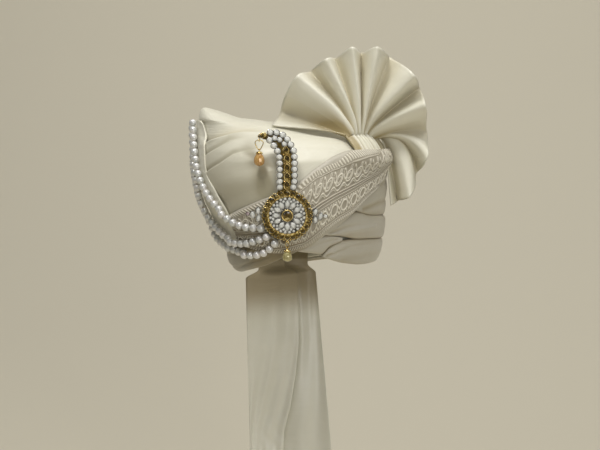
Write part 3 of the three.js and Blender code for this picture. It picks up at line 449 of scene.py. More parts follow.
for node, (rows, columns, lines) in ROLLS.items():
    turn, height, s, t = strip(rows, columns, lines, edge=-0.36)
    deep = over_crown(height)
    body = roundness(t) * np.minimum(1, 0.5 + np.sqrt(np.clip(np.minimum(s, 1 - s) * 14, 0, 1)))
    edge = deep + (WRAP_LIFT - deep) * (0.42 if node == "brow_wrap" else 0.62)
    outer = edge + (WRAP_LIFT + 0.8 - edge) * body
    folds = creases(turn, height, ROLL_CREASES[node])
    outer = outer + folds * roundness(t)
    face = laid(turn, height, np.maximum(outer, deep + 0.8))
    cloth = slab(node + "_cloth", face, laid(turn, height, deep), cloth_uv(face))
    # Painted shade: darker along both edges of each roll and in its creases; on the brow wrap also darker
    # towards the brooch and in its upper part under the pearls.
    shade = 0.9 * (1 - roundness(t)) + 0.35 * np.maximum(0, -folds)
    if node == "brow_wrap":
        shade = shade + 0.8 * ease(-56, -30, turn) + 0.5 * ease(12, 24, height) * ease(-80, -60, turn)
    set_painted_shade(cloth, np.clip(shade, 0, 1))
    put(cloth, shaded_brow_satin if node == "brow_wrap" else wrap_satin, "wrap_satin", node)

# Side wrap: the sheet round the wearer's right and back, its front edge folded sharp from the tip down
# to the band. It covers the ends of the rolls at the back and of the front panel.
SIDE_ROWS = (
    (0.162, -46, -184), (0.24, -45.5, -187), (0.36, -45.8, -192), (0.49, -52, -197), (0.59, -59, -200),
    (0.7, -60.5, -203), (0.79, -60.5, -204), (0.86, -60, -203), (0.92, -55, -190),
)
SIDE_CLOTH = 2.4
side_from, side_to = smooth(SIDE_ROWS, 1), smooth(SIDE_ROWS, 2)


def past_rolls(height):
    """From 0 to 1, how far a height is above the rolls, where the wrap comes down on the crown."""
    return ease(138, 151, height)


def side_inner(turn, height):
    over_panel = ease(-80, -71, turn) * ease(172, 158, height)
    over_rolls = (1 - ease(-158, -146, turn)) * (1 - past_rolls(height))
    covered = np.maximum(over_panel, over_rolls)
    return (over_crown(height) - 1.2) * (1 - covered) + (WRAP_LIFT + LAYER_GAP) * covered


def side_outer(turn, height, s, t):
    edge = roundness(np.minimum(s / 0.05, 1) / 2)
    full = WRAP_LIFT + 0.8 + (5 - WRAP_LIFT - 0.8) * (1 - ease(0.05, 0.22, s))
    hidden = 1 - ease(-158, -142, turn)
    over_rolls = WRAP_LIFT + LAYER_GAP + SIDE_CLOTH
    behind = over_rolls + (over_crown(height) + 2.2 - over_rolls) * past_rolls(height)
    back = full * (1 - hidden) + behind * hidden
    lift = back + (1 - back) * 0.6 * (1 - roundness(t))
    inner = side_inner(turn, height) + 1
    return np.maximum(inner + (lift - inner) * edge, inner)


def side_wrap():
    s, t = grid(250, 110)
    s = 1 - s
    share = SIDE_ROWS[0][0] + (SIDE_ROWS[-1][0] - SIDE_ROWS[0][0]) * t
    turn = side_from(share) + (side_to(share) - side_from(share)) * s**1.35
    height = share * TIP
    folds = creases(turn, height, (
        (((-56, 60), (-72, 110), (-80, 160), (-90, 186)), -1.4, 4, 0.5, 1),
        (((-58, 42), (-90, 78), (-120, 120), (-130, 170)), -1.2, 5, 0.8, 0.6),
        (((-80, 40), (-130, 66), (-175, 100)), -1.4, 4, 0.4, 1),
        (((-110, 176), (-150, 150), (-195, 130)), -1.2, 5, 1, 0.6),
    ))
    outer = side_outer(turn, height, s, t) + folds * ease(0, 0.12, s) * roundness(t)
    inner = side_inner(turn, height)
    near_top = ease(150, 176, height)
    outer = outer + (np.minimum(outer, inner + SIDE_CLOTH) - outer) * near_top * ease(0.2, 0.06, s)
    face = laid(turn, height, np.maximum(outer, inner + 0.8))
    return slab("side_wrap_cloth", face, laid(turn, height, inner), cloth_uv(face))


side_cloth = side_wrap()
put(side_cloth, panel_satin, "panel_satin", "side_wrap")

# Border band: the embroidered end of the cloth, wound over everything from the right brow up to the
# left of the crown. A tier of coils and leaves on a scalloped vine and a tier of coins lie between corded
# lines, with a rope border above and slanting stitches below, all in cream silk thread.
BAND_ROWS = (
    (-44.2, 0.157, 0.35), (-41, 0.15, 0.361), (-17, 0.115, 0.447), (1, 0.139, 0.514), (18, 0.231, 0.649),
    (28, 0.288, 0.7), (38, 0.356, 0.716), (48, 0.433, 0.717), (60, 0.505, 0.715), (70, 0.582, 0.712),
    (80, 0.645, 0.708), (90, 0.68, 0.705),
)
NECK_HEIGHT = 148.0
MOTIF = 16.5  # mm from one leaf scroll to the next


def band_inner(turn, height):
    bulge = ease(26, 38, turn) * ease(NECK_HEIGHT - 22, NECK_HEIGHT - 6, height)
    return WRAP_LIFT + LAYER_GAP + 0.6 + bulge * 4.6


def ridge(distance, width):
    """From 1 on a line to 0 beside it."""
    return np.exp(-((distance / width) ** 2))


def window(value, start, end, soft=0.5):
    """From 0 outside start and end to 1 between them."""
    return 1 / (1 + np.exp(np.clip(-(value - start) / soft * 4, -40, 40))) * (
        1 / (1 + np.exp(np.clip((value - end) / soft * 4, -40, 40))))


def embroidery(along, across):
    """Height from 0 to 1 of the stitching, at lengths in mm along the band and above its middle cord."""
    u = (along / MOTIF % 1 - 0.5) * MOTIF
    v = across
    rope = window(v, 28.4, 34.4) * (0.5 + 0.5 * np.cos(2 * np.pi * (along + v) / 4.3))
    cords = ridge(v - 1.1, 0.9) + ridge(v + 2.0, 0.8) + 0.8 * ridge(v - 27.2, 0.7)
    cords = cords + 0.8 * ridge(v + 25.4, 0.7) + 0.7 * ridge(v + 5.8, 0.6)
    twist = 0.8 + 0.2 * np.cos(2 * np.pi * (along + 1.5 * v) / 2.2)
    # The upper tier: a round coil, a tall leaf beside it and a fan of stitches above, on a scalloped vine.
    coil = np.hypot((u - 1.6 - 0.25 * (v - 14.5)) / 4.7, (v - 14.5) / 5.7)
    rings = ridge((coil - 1) * 5, 0.95) + 0.8 * ridge((coil - 0.55) * 5, 0.7)
    leaf = np.hypot((u + 5.9 + 0.3 * (v - 18)) / 2.2, (v - 18) / 5.6)
    leaf_line = ridge((leaf - 1) * 2.8, 0.8) + 0.6 * ridge(leaf * 2.8, 0.7)
    rays = 0.5 + 0.5 * np.cos(2 * np.pi * (u - 0.4 * v) / 2.5)
    spray = ridge(u - 3.4, 3.2) * window(v, 20.8, 25.8) * rays
    upper = window(v, 8.2, 26.8) * np.maximum.reduce([rings, leaf_line, spray])
    scallop = 6.4 - 2.6 * np.cos(2 * np.pi * (u - 1.6) / MOTIF)
    vine = ridge(v - scallop, 0.9) + 0.8 * ridge(v - scallop + 2.3, 0.7)
    vine = vine * window(v, 2.6, 11, 0.6)
    # The lower tier: plain coins with hatched leaves between them, and a slanting stitch under them.
    coin = np.hypot(u / 4.9, (v + 15.4) / 5.4)
    coin_line = ridge((coin - 1) * 5, 0.9)
    between = ease(1.05, 1.3, coin) * window(v, -23.6, -7.4)
    hatch = between * (0.5 + 0.5 * np.cos(2 * np.pi * (np.abs(u) * 0.8 + v * 0.55) / 2.9))
    lower = np.maximum(coin_line, 0.85 * hatch) * window(v, -24.4, -6.8)
    slant = window(v, -30.4, -26.6) * (0.5 + 0.5 * np.cos(2 * np.pi * (along - v) / 3.9))
    plain = np.clip(np.maximum.reduce([vine, upper, lower]), 0, 1.05)
    return np.clip(np.maximum.reduce([rope, 0.9 * slant, cords * twist, plain]), 0, 1.1)


def border_band():
    turn, height, _, t = strip(BAND_ROWS, 560, 160)
    inner = band_inner(turn, height)
    middle = laid(turn, height, inner + 3.7)
    along = np.cumsum(np.linalg.norm(np.diff(middle, axis=0), axis=-1), axis=0)
    along = np.concatenate([0 * along[:1], along])
    along = along[:, 80:81] + 0 * along
    slant = np.gradient(height[:, 80], turn[:, 80]) / 2.15
    tall = (height[:, -1] - height[:, 0]) * np.cos(np.arctan(slant))
    across = (t - 0.47) * tall[:, None] * (70 / np.clip(tall, 46, 72)[:, None])
    shear = along + across * slant[:, None] * -0.55
    raised = embroidery(shear, across)
    puff = 0.9 * np.sin(np.pi * np.clip((across + 36) / 35, 0, 1))
    puff = puff + 0.9 * np.sin(np.pi * np.clip(across / 34, 0, 1))
    edge = np.minimum(1, np.sqrt(np.clip(np.minimum(t, 1 - t) * 22, 0, 1)))
    body = 2.4 + puff + 0.6 * (across > 0)
    body = body * (1 - 0.45 * ease(50, 84, turn))
    face = laid(turn, height, inner + 0.6 + body * edge + 1.25 * raised * edge)
    uv = np.stack([shear, across], axis=-1) / 1000
    band = slab("border_band_cloth", face, laid(turn, height, inner), uv)
    stitched = band.data.attributes.new("stitching", "FLOAT", "POINT")
    stitched.data.foreach_set("value", np.concatenate([raised.ravel(), 0 * raised.ravel()]))
    # Painted shade: dark outlines round the raised stitching and a darker foot under the brooch; inside its
    # borders the whole band is also a little darker, and its back gets a fixed 0.3.
    inside = window(across, -30.8, 34.8)
    stitch_edge_shade = inside * np.exp(-(((raised - 0.3) / 0.24) ** 2))
    foot = ease(18, -10, turn) * ease(26, -20, across)
    set_painted_shade(band, np.clip(0.85 * stitch_edge_shade + 0.15 * inside + 0.8 * foot, 0, 1), 0.3)
    return band


band_cloth = border_band()
band_silk = satin(
    "band_silk", (0.55, 0.515, 0.43), (0.50, 0.465, 0.38), roughness=0.46, rumple=0.08,
    painted_shade=(0.42, 0.35, 0.25))
nodes, links = band_silk.node_tree.nodes, band_silk.node_tree.links
stitching = nodes.new("ShaderNodeAttribute")
stitching.attribute_name = "stitching"
thread = nodes.new("ShaderNodeMix")
thread.data_type = "RGBA"
thread.inputs["B"].default_value = (0.84, 0.80, 0.68, 1)
ground = nodes["Principled BSDF"].inputs["Base Color"].links[0].from_socket
links.new(stitching.outputs["Fac"], thread.inputs["Factor"])
links.new(ground, thread.inputs["A"])
links.new(thread.outputs["Result"], nodes["Principled BSDF"].inputs["Base Color"])
put(band_cloth, band_silk, "border_embroidery", "border_band")

# Fan: a stiffened length of the same satin, pleated by hand and gathered into a neck that is tucked
# behind the band's upper end. Its pleats open round into a rosette beside the crown.
FAN_FOLDS = (
    (171, 0.95, 0.7), (161, 0.9, -0.9), (135, 0.955, 1), (126, 0.905, -1), (113, 0.93, 1),
    (107, 0.905, -0.8), (95, 0.985, 1), (89, 0.92, -0.8), (79.5, 1, 1), (70, 0.94, -0.8),
    (50, 0.895, 1), (40, 0.86, -1), (27, 0.79, 0.9), (6, 0.745, -0.9), (-16, 0.76, 1),
    (-31, 0.745, -0.8), (-49, 0.83, 1), (-58, 0.81, -0.7), (-64, 0.8, 0.6),
)
FAN_RADIUS = 122.0
FAN_DEPTH = 13.0
FAN_CLOTH = 1.8
NECK_SHARE = 0.14  # of the fan's length from its root to its edge
NECK_TURNS = (43, 84)


def fan_points(angle, along):
    """The middle of the fan's sheet, by angle round its neck and share from its root to its edge."""
    spread = (FAN_FOLDS[0][0] - angle) / (FAN_FOLDS[0][0] - FAN_FOLDS[-1][0])
    turned = tuple((-a, reach, forward) for a, reach, forward in FAN_FOLDS)
    forward = smooth(turned, 2)(-angle)
    reach = FAN_RADIUS * smooth(turned, 1)(-angle)
    root_turn = NECK_TURNS[0] + (NECK_TURNS[1] - NECK_TURNS[0]) * spread
    lower = 1 - ease(-20, 50, angle)
    gathered = forward * (1 - 0.7 * lower)
    climb = 4 + FAN_RADIUS * (0.131 + (0.1 - 0.131) * lower)

    def neck(share):
        lift = 4.4 + 4.2 * share + gathered * (1.6 + 1.6 * share)
        return laid(root_turn, NECK_HEIGHT - 4 + climb * share, lift)

    rad = np.radians(angle)
    tip = np.stack([
        0.66 * REACH["left"] + reach * np.cos(rad),
        -(0.4 - 0.16 * lower) * REACH["front"] - np.where(forward < 0, 2.1, 1.2) * forward * FAN_DEPTH,
        NECK_HEIGHT + 0.156 * FAN_RADIUS + reach * np.sin(rad),
    ], axis=-1)
    start = neck(1 + 0 * angle)
    outward = np.stack([np.sin(np.radians(root_turn)), -np.cos(np.radians(root_turn)), 0 * angle], axis=-1)
    low_bow = 0.38 - 0.3 * ease(-38, -62, angle)
    over = start + outward * (FAN_RADIUS * (0.033 + (low_bow - 0.033) * lower))[..., None]
    up = 0.164 + (0.033 - 0.164) * ease(125, 160, angle)
    over[..., 2] += FAN_RADIUS * (up + (0.12 - up) * lower)
    out = np.clip((along - NECK_SHARE) / (1 - NECK_SHARE), 0, 1)[..., None]
    opened = start * (1 - out) ** 2 + over * 2 * out * (1 - out) + tip * out**2
    return np.where((along <= NECK_SHARE)[..., None], neck(np.clip(along / NECK_SHARE, 0, 1)), opened)


def square_to(points):
    """Unit directions square to a sheet through a grid of points."""
    across = np.gradient(points, axis=0)
    up = np.gradient(points, axis=1)
    out = np.cross(across, up)
    return out / np.maximum(np.linalg.norm(out, axis=-1, keepdims=True), 1e-9)


def fan():
    s, along = grid(400, 70)
    angle = FAN_FOLDS[0][0] + (FAN_FOLDS[-1][0] - FAN_FOLDS[0][0]) * s
    middle = fan_points(angle, along)
    out = square_to(middle)
    crimp = 0.5 * np.sin(np.radians(angle) * 38) * ease(0.5, 0.1, along)
    crimp = crimp + 0.45 * np.sin(np.radians(angle) * 9 + along * 9) * ease(0.2, 0.6, along)
    crimp = crimp + 1.2 * ease(0.93, 1.0, along) * np.sin(np.radians(angle) * 17)
    middle = middle + out * (crimp * ease(0.1, 0.2, along))[..., None]
    face = middle + out * FAN_CLOTH / 2
    back = middle - out * FAN_CLOTH / 2
    piece = slab("fan_cloth", face, back, cloth_uv(face.transpose(1, 0, 2)).transpose(1, 0, 2))
    # Painted shade: darker in the pleats' valleys, most towards the neck, in the gathered knot of the lower
    # pleats and over most of the upper left pleats.
    turned = tuple((-a, forward) for a, _, forward in FAN_FOLDS)
    valley = (1 - smooth(turned, 1)(-angle)) / 2
    near = ease(0.95, 0.15, along)
    knot_shade = ease(0.34, 0.2, along) * ease(10, -20, angle)
    pocket_shade = ease(134, 146, angle) * ease(0.92, 0.45, along)
    shade = np.clip(valley**1.5 * (0.5 + 0.6 * near) + 0.5 * knot_shade + 0.9 * pocket_shade, 0, 1)
    set_painted_shade(piece, shade, shade)
    return piece


fan_cloth = fan()
fan_satin = satin(
    "fan_satin", (0.87, 0.85, 0.73), (0.81, 0.785, 0.655), roughness=0.3, rumple=0.3,
    painted_shade=(0.5, 0.42, 0.26))
put(fan_cloth, fan_satin, "fan_satin", "fan")

# Tail: the long end of the cloth, hanging from inside the back of the brim. It falls in one deep knife
# pleat, the left half over the right, with a few vertical folds and soft crumples near the hem.
TAIL_DROP = 292.0
TAIL_WIDTH = 118.0
TAIL_CLOTH = 2.0
TAIL_LAYER = 4.4
TAIL_INSET = 2.2  # mm from the crown's inner face to the tail, beside the layer gap
TAIL_BACK = 62.0
TAIL_FOLDS = (
    (0, 2, 0), (0.12, 2, 0.4), (0.25, 2, 0.1), (0.38, 2, -0.3), (0.5, 2, -0.05), (0.585, 2, -0.01),
    (0.62, 1.5, 0), (0.585, 1, -0.01), (0.5, 1, -0.05), (0.465, 0.5, -0.1), (0.5, 0, -0.05), (0.62, 0, 0),
    (0.75, 0, 0.4), (0.88, 0, 0.1), (1, 0, 0.5),
)


def tail():
    count = len(TAIL_FOLDS)
    fine = np.linspace(0, count - 1, 15 * (count - 1) + 1)
    path = np.array(TAIL_FOLDS)
    rows = [tuple([i, *row]) for i, row in enumerate(path)]
    along, layer, wave = (smooth(rows, k)(fine) for k in (1, 2, 3))
    run = np.gradient(along) * TAIL_WIDTH
    rise = np.gradient(layer) * TAIL_LAYER
    length = np.hypot(run, rise)
    down = np.linspace(0, 1, 150)
    level = TAIL_DROP * (0.055 - 1.055 * down)
    brim_height = TIP * SECTIONS[0][0]

    def face_of(side):
        offset = side * TAIL_CLOTH / 2
        across = (along - offset * rise / length / TAIL_WIDTH)[:, None] + 0 * level
        depth = (layer * TAIL_LAYER + offset * run / length)[:, None] + 0 * level
        height = level[None, :] + 0 * across
        inside = SINK_DEPTH + CROWN_CLOTH + LAYER_GAP + TAIL_INSET + depth
        turn = -100 - 86 * across
        top = laid(turn, np.maximum(height - 11, brim_height), -inside)
        hem_y = TAIL_BACK - depth - 12 * wave[:, None]
        open_out = 1 - ease(-0.9 * TAIL_DROP, brim_height, height)
        spread = 1 - ease(-25, brim_height + 1.5, height)
        power = np.interp(height, (-292, -245, -210, -165, -120, -14), (2.0, 1.8, 1.37, 1.03, 0.8, 0.63))
        left = -78.5 - height / TAIL_DROP * 4.5
        right = 16 - height / TAIL_DROP * 26
        straight = left + (right - left) * np.sign(across) * np.abs(across) ** power
        x = top[..., 0] * (1 - spread) + straight * spread
        y = top[..., 1] * (1 - open_out) + hem_y * open_out
        free = ease(-20, -90, height)
        y = y + free * 2.2 * np.sin(across * 17 + height * 0.006)
        y = y + free * 1.2 * np.sin(across * 33 - height * 0.011)
        crumple = ease(-190, -270, height) * ridge(across - 0.5, 0.16)
        y = y + crumple * 1.6 * np.sin(height * 0.19 + across * 8) * np.cos(across * 21 + height * 0.05)
        return np.stack([x, y, height], axis=-1)[::-1, ::-1]

    face, back = face_of(-1), face_of(1)
    piece = slab("tail_cloth", face, back, cloth_uv(face))
    # Painted shadow of the brim: darkest near the top of the tail, fading out between heights of -38 and -92
    # mm.
    painted_brim_shadow = ease(-92, -38, face[..., 2])
    set_painted_shade(piece, painted_brim_shadow, painted_brim_shadow)
    return piece


tail_cloth = tail()
tail_satin = satin(
    "tail_satin", (0.86, 0.85, 0.76), (0.80, 0.785, 0.68), roughness=0.34, rumple=0.3,
    painted_shade=(0.5, 0.43, 0.33))
put(tail_cloth, tail_satin, "tail_satin", "tail")

# Pearls: three strings of round white pearls, knotted close on thread. They are pinned under the brooch,
# swing down round the wearer's right and rise along the side wrap's fold to the tip's back.
PEARL = 5.1
PEARL_PITCH = 10.8
THREAD = 1.1
REST_GAP = 0.4
PEARL_ROUTES = {
    "pearl_string_upper": (
        (-20, 0.287), (-28, 0.289), (-36, 0.308), (-43, 0.345), (-51, 0.409), (-60, 0.495), (-66.3, 0.6),
        (-71, 0.71), (-73, 0.8), (-73, 0.86), (-72, 0.905),
    ),
    "pearl_string_middle": (
        (-18, 0.236), (-27, 0.21), (-37, 0.19), (-46, 0.19), (-55, 0.219), (-65, 0.265), (-73, 0.335),
        (-76, 0.44), (-78, 0.56), (-81, 0.7), (-86, 0.81), (-90, 0.87),
    ),
    "pearl_string_lower": (
        (-14, 0.197), (-20, 0.154), (-27, 0.125), (-35, 0.114), (-43, 0.112), (-51, 0.122), (-58, 0.141),
        (-66, 0.165), (-74, 0.2), (-80, 0.26), (-85, 0.36), (-87, 0.48), (-90, 0.62), (-96, 0.76),
        (-104, 0.84),
    ),
}


def cloth_top(turn, height):
    """The highest lift of the cloths at one place."""
    share = height / TIP
    past = (float(side_from(share)) - turn) / 150
    top = WRAP_LIFT
    one = np.array([float(turn)])
    if past > -0.02 and share > SIDE_ROWS[0][0]:
        top = side_outer(one, np.array([height]), np.array([max(past, 0.05) ** 0.74]), np.array([0.5]))[0]
    low, high = TIP * smooth(BAND_ROWS, 1)(one)[0], TIP * smooth(BAND_ROWS, 2)(one)[0]
    if BAND_ROWS[0][0] - 2 < turn < BAND_ROWS[-1][0] and low - 3 < height < high + 3:
        top = max(top, band_inner(one, np.array([height]))[0] + 4.3)
    return top


def pearl_places(route):
    """Evenly spaced centres along a route, from its turns and heights."""
    count = len(route)
    rows = [(i, *place) for i, place in enumerate(route)]
    fine = np.linspace(0, count - 1, 600)
    turns, heights = smooth(rows, 1)(fine), smooth(rows, 2)(fine) * TIP
    lifts = np.array([
        max(cloth_top(turn + a, height + b) for a, b in ((0, 0), (4.5, 0), (-4, 0), (0, 5), (0, -5)))
        for turn, height in zip(turns, heights)
    ])
    kernel = np.hanning(41) / np.hanning(41).sum()
    lifts = np.maximum(lifts, np.convolve(np.pad(lifts, 20, mode="edge"), kernel, mode="valid"))
    points = laid(turns, heights, lifts + REST_GAP + PEARL)
    length = np.concatenate([[0], np.cumsum(np.linalg.norm(np.diff(points, axis=0), axis=-1))])
    number = round(length[-1] / PEARL_PITCH)
    at = np.linspace(0, length[-1], number + 1)
    return np.stack([np.interp(at, length, points[:, k]) for k in range(3)], axis=-1)


def copies(model, matrices, name):
    """The model repeated at each matrix, each with its own mesh, joined into one object."""
    bpy.ops.object.select_all(action="DESELECT")
    made = []
    for matrix in matrices:
        one = model.copy()
        one.data = model.data.copy()
        one.data.transform(matrix)
        bpy.context.collection.objects.link(one)
        one.select_set(True)
        made.append(one)
    bpy.context.view_layer.objects.active = made[0]
    if len(made) > 1:
        bpy.ops.object.join()
    made[0].name = name
    return made[0]


pearl_skin = bpy.data.materials.new("pearl_skin")
pearl_skin.use_nodes = True
nodes, links = pearl_skin.node_tree.nodes, pearl_skin.node_tree.links
shader = nodes["Principled BSDF"]
shader.inputs["Metallic"].default_value = 0.35
shader.inputs["Roughness"].default_value = 0.3
shader.inputs["Coat Weight"].default_value = 0.8
shader.inputs["Coat Roughness"].default_value = 0.12
place = nodes.new("ShaderNodeTexCoord")
tint = nodes.new("ShaderNodeTexNoise")
tint.inputs["Scale"].default_value = 60
ramp = tone_ramp(pearl_skin.node_tree, (0.35, (0.70, 0.72, 0.71)), (0.68, (0.86, 0.84, 0.83)))
links.new(place.outputs["Object"], tint.inputs["Vector"])
links.new(tint.outputs["Fac"], ramp.inputs["Fac"])
links.new(ramp.outputs["Color"], shader.inputs["Base Color"])
thread_silk = bpy.data.materials.new("thread_silk")
thread_silk.use_nodes = True
nodes, links = thread_silk.node_tree.nodes, thread_silk.node_tree.links
shader = nodes["Principled BSDF"]
shader.inputs["Roughness"].default_value = 0.45
twine = nodes.new("ShaderNodeTexNoise")
twine.inputs["Scale"].default_value = 900
ramp = tone_ramp(thread_silk.node_tree, (0, (0.30, 0.17, 0.05)), (1, (0.62, 0.42, 0.18)))
links.new(twine.outputs["Fac"], ramp.inputs["Fac"])
links.new(ramp.outputs["Color"], shader.inputs["Base Color"])
bpy.ops.mesh.primitive_uv_sphere_add(segments=24, ring_count=14, radius=PEARL / 1000)
one_pearl = bpy.context.object
bpy.ops.object.shade_smooth()
bpy.ops.mesh.primitive_cylinder_add(vertices=8, radius=THREAD / 1000, depth=(PEARL_PITCH + 0.1) / 1000)
one_thread = bpy.context.object
bpy.ops.object.shade_smooth()
for node, route in PEARL_ROUTES.items():
    centres = pearl_places(route) / 1000
    spots, threads = [], []
    for i, centre in enumerate(centres):
        ahead = Vector(centres[min(i + 1, len(centres) - 1)] - centres[max(i - 1, 0)])
        turned = ahead.to_track_quat("Z", "Y").to_matrix().to_4x4()
        spots.append(Matrix.Translation(centre) @ turned)
        if i:
            gap = Vector(centres[i] - centres[i - 1])
            middle = Vector((centres[i] + centres[i - 1]) / 2)
            threads.append(Matrix.Translation(middle) @ gap.to_track_quat("Z", "Y").to_matrix().to_4x4())
    string = copies(one_pearl, spots, node + "_pearls")
    cord = copies(one_thread, threads, node + "_thread")
    put(string, pearl_skin, "pearl", node)
    put(cord, thread_silk, "pearl")
bpy.data.objects.remove(one_pearl)
bpy.data.objects.remove(one_thread)

# Kalgi: the plume brooch. A gold plate is cut as a round disc with a stem that rises and curls over at
# the top, bent a little back over the crown. On the disc a ring of round amber stones in gold cups runs
# round a flower of clear leaf stones, with one large amber stone in a bezel at its centre.
DISC = 31.5
STEM_BEND = 215.8  # mm radius of the stem's bend
BEND_FROM = 30.0  # mm above the disc's middle
BROOCH_STAND = 0.9
BROOCH_TURN, BROOCH_HEIGHT, BROOCH_LEAN = -2.1, 75.0, -1.5
PLATE = 1.5
STONE_BASE = PLATE + 0.3
BROOCH_SEAT = cloth_top(BROOCH_TURN, BROOCH_HEIGHT) + REST_GAP + BROOCH_STAND
one_turn, one_height = np.array([BROOCH_TURN]), np.array([BROOCH_HEIGHT])
BROOCH_MIDDLE = laid(one_turn, one_height, np.array([BROOCH_SEAT]))[0]


def brooch_place(across, up):
    """The brooch's own axes at a flat place on it, in millimetres: across, up its plate and out."""
    bent = max(0.0, up - BEND_FROM) / STEM_BEND
    rise = BEND_FROM + STEM_BEND * math.sin(bent) if up > BEND_FROM else up
    back = STEM_BEND * (1 - math.cos(bent))
    lean = math.radians(BROOCH_LEAN)
    at = Vector(BROOCH_MIDDLE) + Vector((
        across,
        back * math.cos(lean) + rise * math.sin(lean),
        rise * math.cos(lean) - back * math.sin(lean),
    ))
    return Matrix.Translation(at / 1000) @ Matrix.Rotation(math.pi / 2 - bent - lean, 4, "X")


def metal(name, color, tarnish, roughness=0.2):
    """Plated metal, duller and darker in worn patches."""
    material = bpy.data.materials.new(name)
    material.use_nodes = True
    nodes, links = material.node_tree.nodes, material.node_tree.links
    shader = nodes["Principled BSDF"]
    shader.inputs["Metallic"].default_value = 1
    shader.inputs["Roughness"].default_value = roughness
    place = nodes.new("ShaderNodeTexCoord")
    worn = nodes.new("ShaderNodeTexNoise")
    worn.inputs["Scale"].default_value = 160
    worn.inputs["Detail"].default_value = 4
    ramp = tone_ramp(material.node_tree, (0.35, tarnish), (0.6, color))
    links.new(place.outputs["Object"], worn.inputs["Vector"])
    links.new(worn.outputs["Fac"], ramp.inputs["Fac"])
    links.new(ramp.outputs["Color"], shader.inputs["Base Color"])
    bump = nodes.new("ShaderNodeBump")
    bump.inputs["Strength"].default_value = 0.15
    bump.inputs["Distance"].default_value = 0.0003
    links.new(worn.outputs["Fac"], bump.inputs["Height"])
    links.new(bump.outputs["Normal"], shader.inputs["Normal"])
    return material


def cut_glass(name, deep, color, bright, clear=0.2, foil=0.35, steps=(0.22, 0.5, 0.82)):
    """Foil-backed cut glass with a hard polish, its facets painted light and dark as painted reflections,
    with painted glints from a fine noise.
    """
    material = bpy.data.materials.new(name)
    material.use_nodes = True
    nodes, links = material.node_tree.nodes, material.node_tree.links
    shader = nodes["Principled BSDF"]
    shader.inputs["Roughness"].default_value = 0.08
    shader.inputs["IOR"].default_value = 1.6
    shader.inputs["Metallic"].default_value = foil
    shader.inputs["Transmission Weight"].default_value = clear
    shader.inputs["Coat Weight"].default_value = 0.8
    shader.inputs["Coat Roughness"].default_value = 0.04
    # Painted reflections: the facet value and the noise choose each point's tone from deep to bright.
    painted_facet_light = nodes.new("ShaderNodeAttribute")
    painted_facet_light.attribute_name = "painted_facet_light"
    place = nodes.new("ShaderNodeTexCoord")
    painted_glint_noise = nodes.new("ShaderNodeTexNoise")
    painted_glint_noise.inputs["Scale"].default_value = 260
    painted_glint_noise.inputs["Detail"].default_value = 2
    links.new(place.outputs["Object"], painted_glint_noise.inputs["Vector"])
    blend = nodes.new("ShaderNodeMath")
    blend.operation = "MULTIPLY_ADD"
    blend.inputs[1].default_value = 0.55
    links.new(painted_facet_light.outputs["Fac"], blend.inputs[0])
    half = nodes.new("ShaderNodeMath")
    half.operation = "MULTIPLY"
    half.inputs[1].default_value = 0.62
    links.new(painted_glint_noise.outputs["Fac"], half.inputs[0])
    links.new(half.outputs[0], blend.inputs[2])
    ramp = tone_ramp(material.node_tree, *zip(steps, (deep, color, bright)))
    links.new(blend.outputs[0], ramp.inputs["Fac"])
    links.new(ramp.outputs["Color"], shader.inputs["Base Color"])
    return material


gold = metal("gold_plate", (0.94, 0.76, 0.36), (0.55, 0.38, 0.12))
silver = metal("silver_claws", (0.55, 0.55, 0.53), (0.16, 0.16, 0.155))
old_gold = metal("old_gold", (0.24, 0.165, 0.05), (0.09, 0.06, 0.012), roughness=0.3)
amber = cut_glass(
    "amber_glass", (0.022, 0.013, 0.002), (0.15, 0.095, 0.012), (0.82, 0.64, 0.24), clear=0, foil=0.1,
    steps=(0.5, 0.68, 0.84))
honey = cut_glass("honey_glass", (0.60, 0.30, 0.08), (0.86, 0.56, 0.20), (0.97, 0.84, 0.50), foil=0.1)
clear = cut_glass(
    "clear_glass", (0.50, 0.51, 0.48), (0.84, 0.85, 0.81), (1.0, 1.0, 0.98), clear=0, foil=0.08)
straw = cut_glass("straw_glass", (0.40, 0.34, 0.12), (0.76, 0.69, 0.38), (0.95, 0.92, 0.70), foil=0.15)
rose = cut_glass("rose_glass", (0.22, 0.12, 0.14), (0.50, 0.36, 0.38), (0.85, 0.74, 0.76))


def fresh(name):
    """The object that Blender has just made, named and no longer selected."""
    one = bpy.context.object
    one.name = name
    bpy.ops.object.select_all(action="DESELECT")
    return one


# One cut stone of each shape is modelled a millimetre in radius, base down on its seat: a round one with
# ten crown facets, a leaf one drawn to two points, and the grains and cups that hold them.
bpy.ops.mesh.primitive_cone_add(
    vertices=10, radius1=0.001, radius2=0.00058, depth=0.0014, location=(0, 0, 0.0015))
round_stone = fresh("round_stone")
bpy.context.view_layer.objects.active = round_stone
round_stone.select_set(True)
bpy.ops.object.transform_apply(location=True)
bpy.ops.object.mode_set(mode="EDIT")
bpy.ops.mesh.select_all(action="DESELECT")
bpy.ops.object.mode_set(mode="OBJECT")
for polygon in round_stone.data.polygons:
    polygon.select = polygon.normal.z < -0.9
bpy.ops.object.mode_set(mode="EDIT")
bpy.ops.mesh.extrude_region_move(TRANSFORM_OT_translate={"value": (0, 0, -0.0008)})
bpy.ops.transform.resize(value=(0.9, 0.9, 1), center_override=(0, 0, 0))
bpy.ops.object.mode_set(mode="OBJECT")
bpy.ops.object.select_all(action="DESELECT")

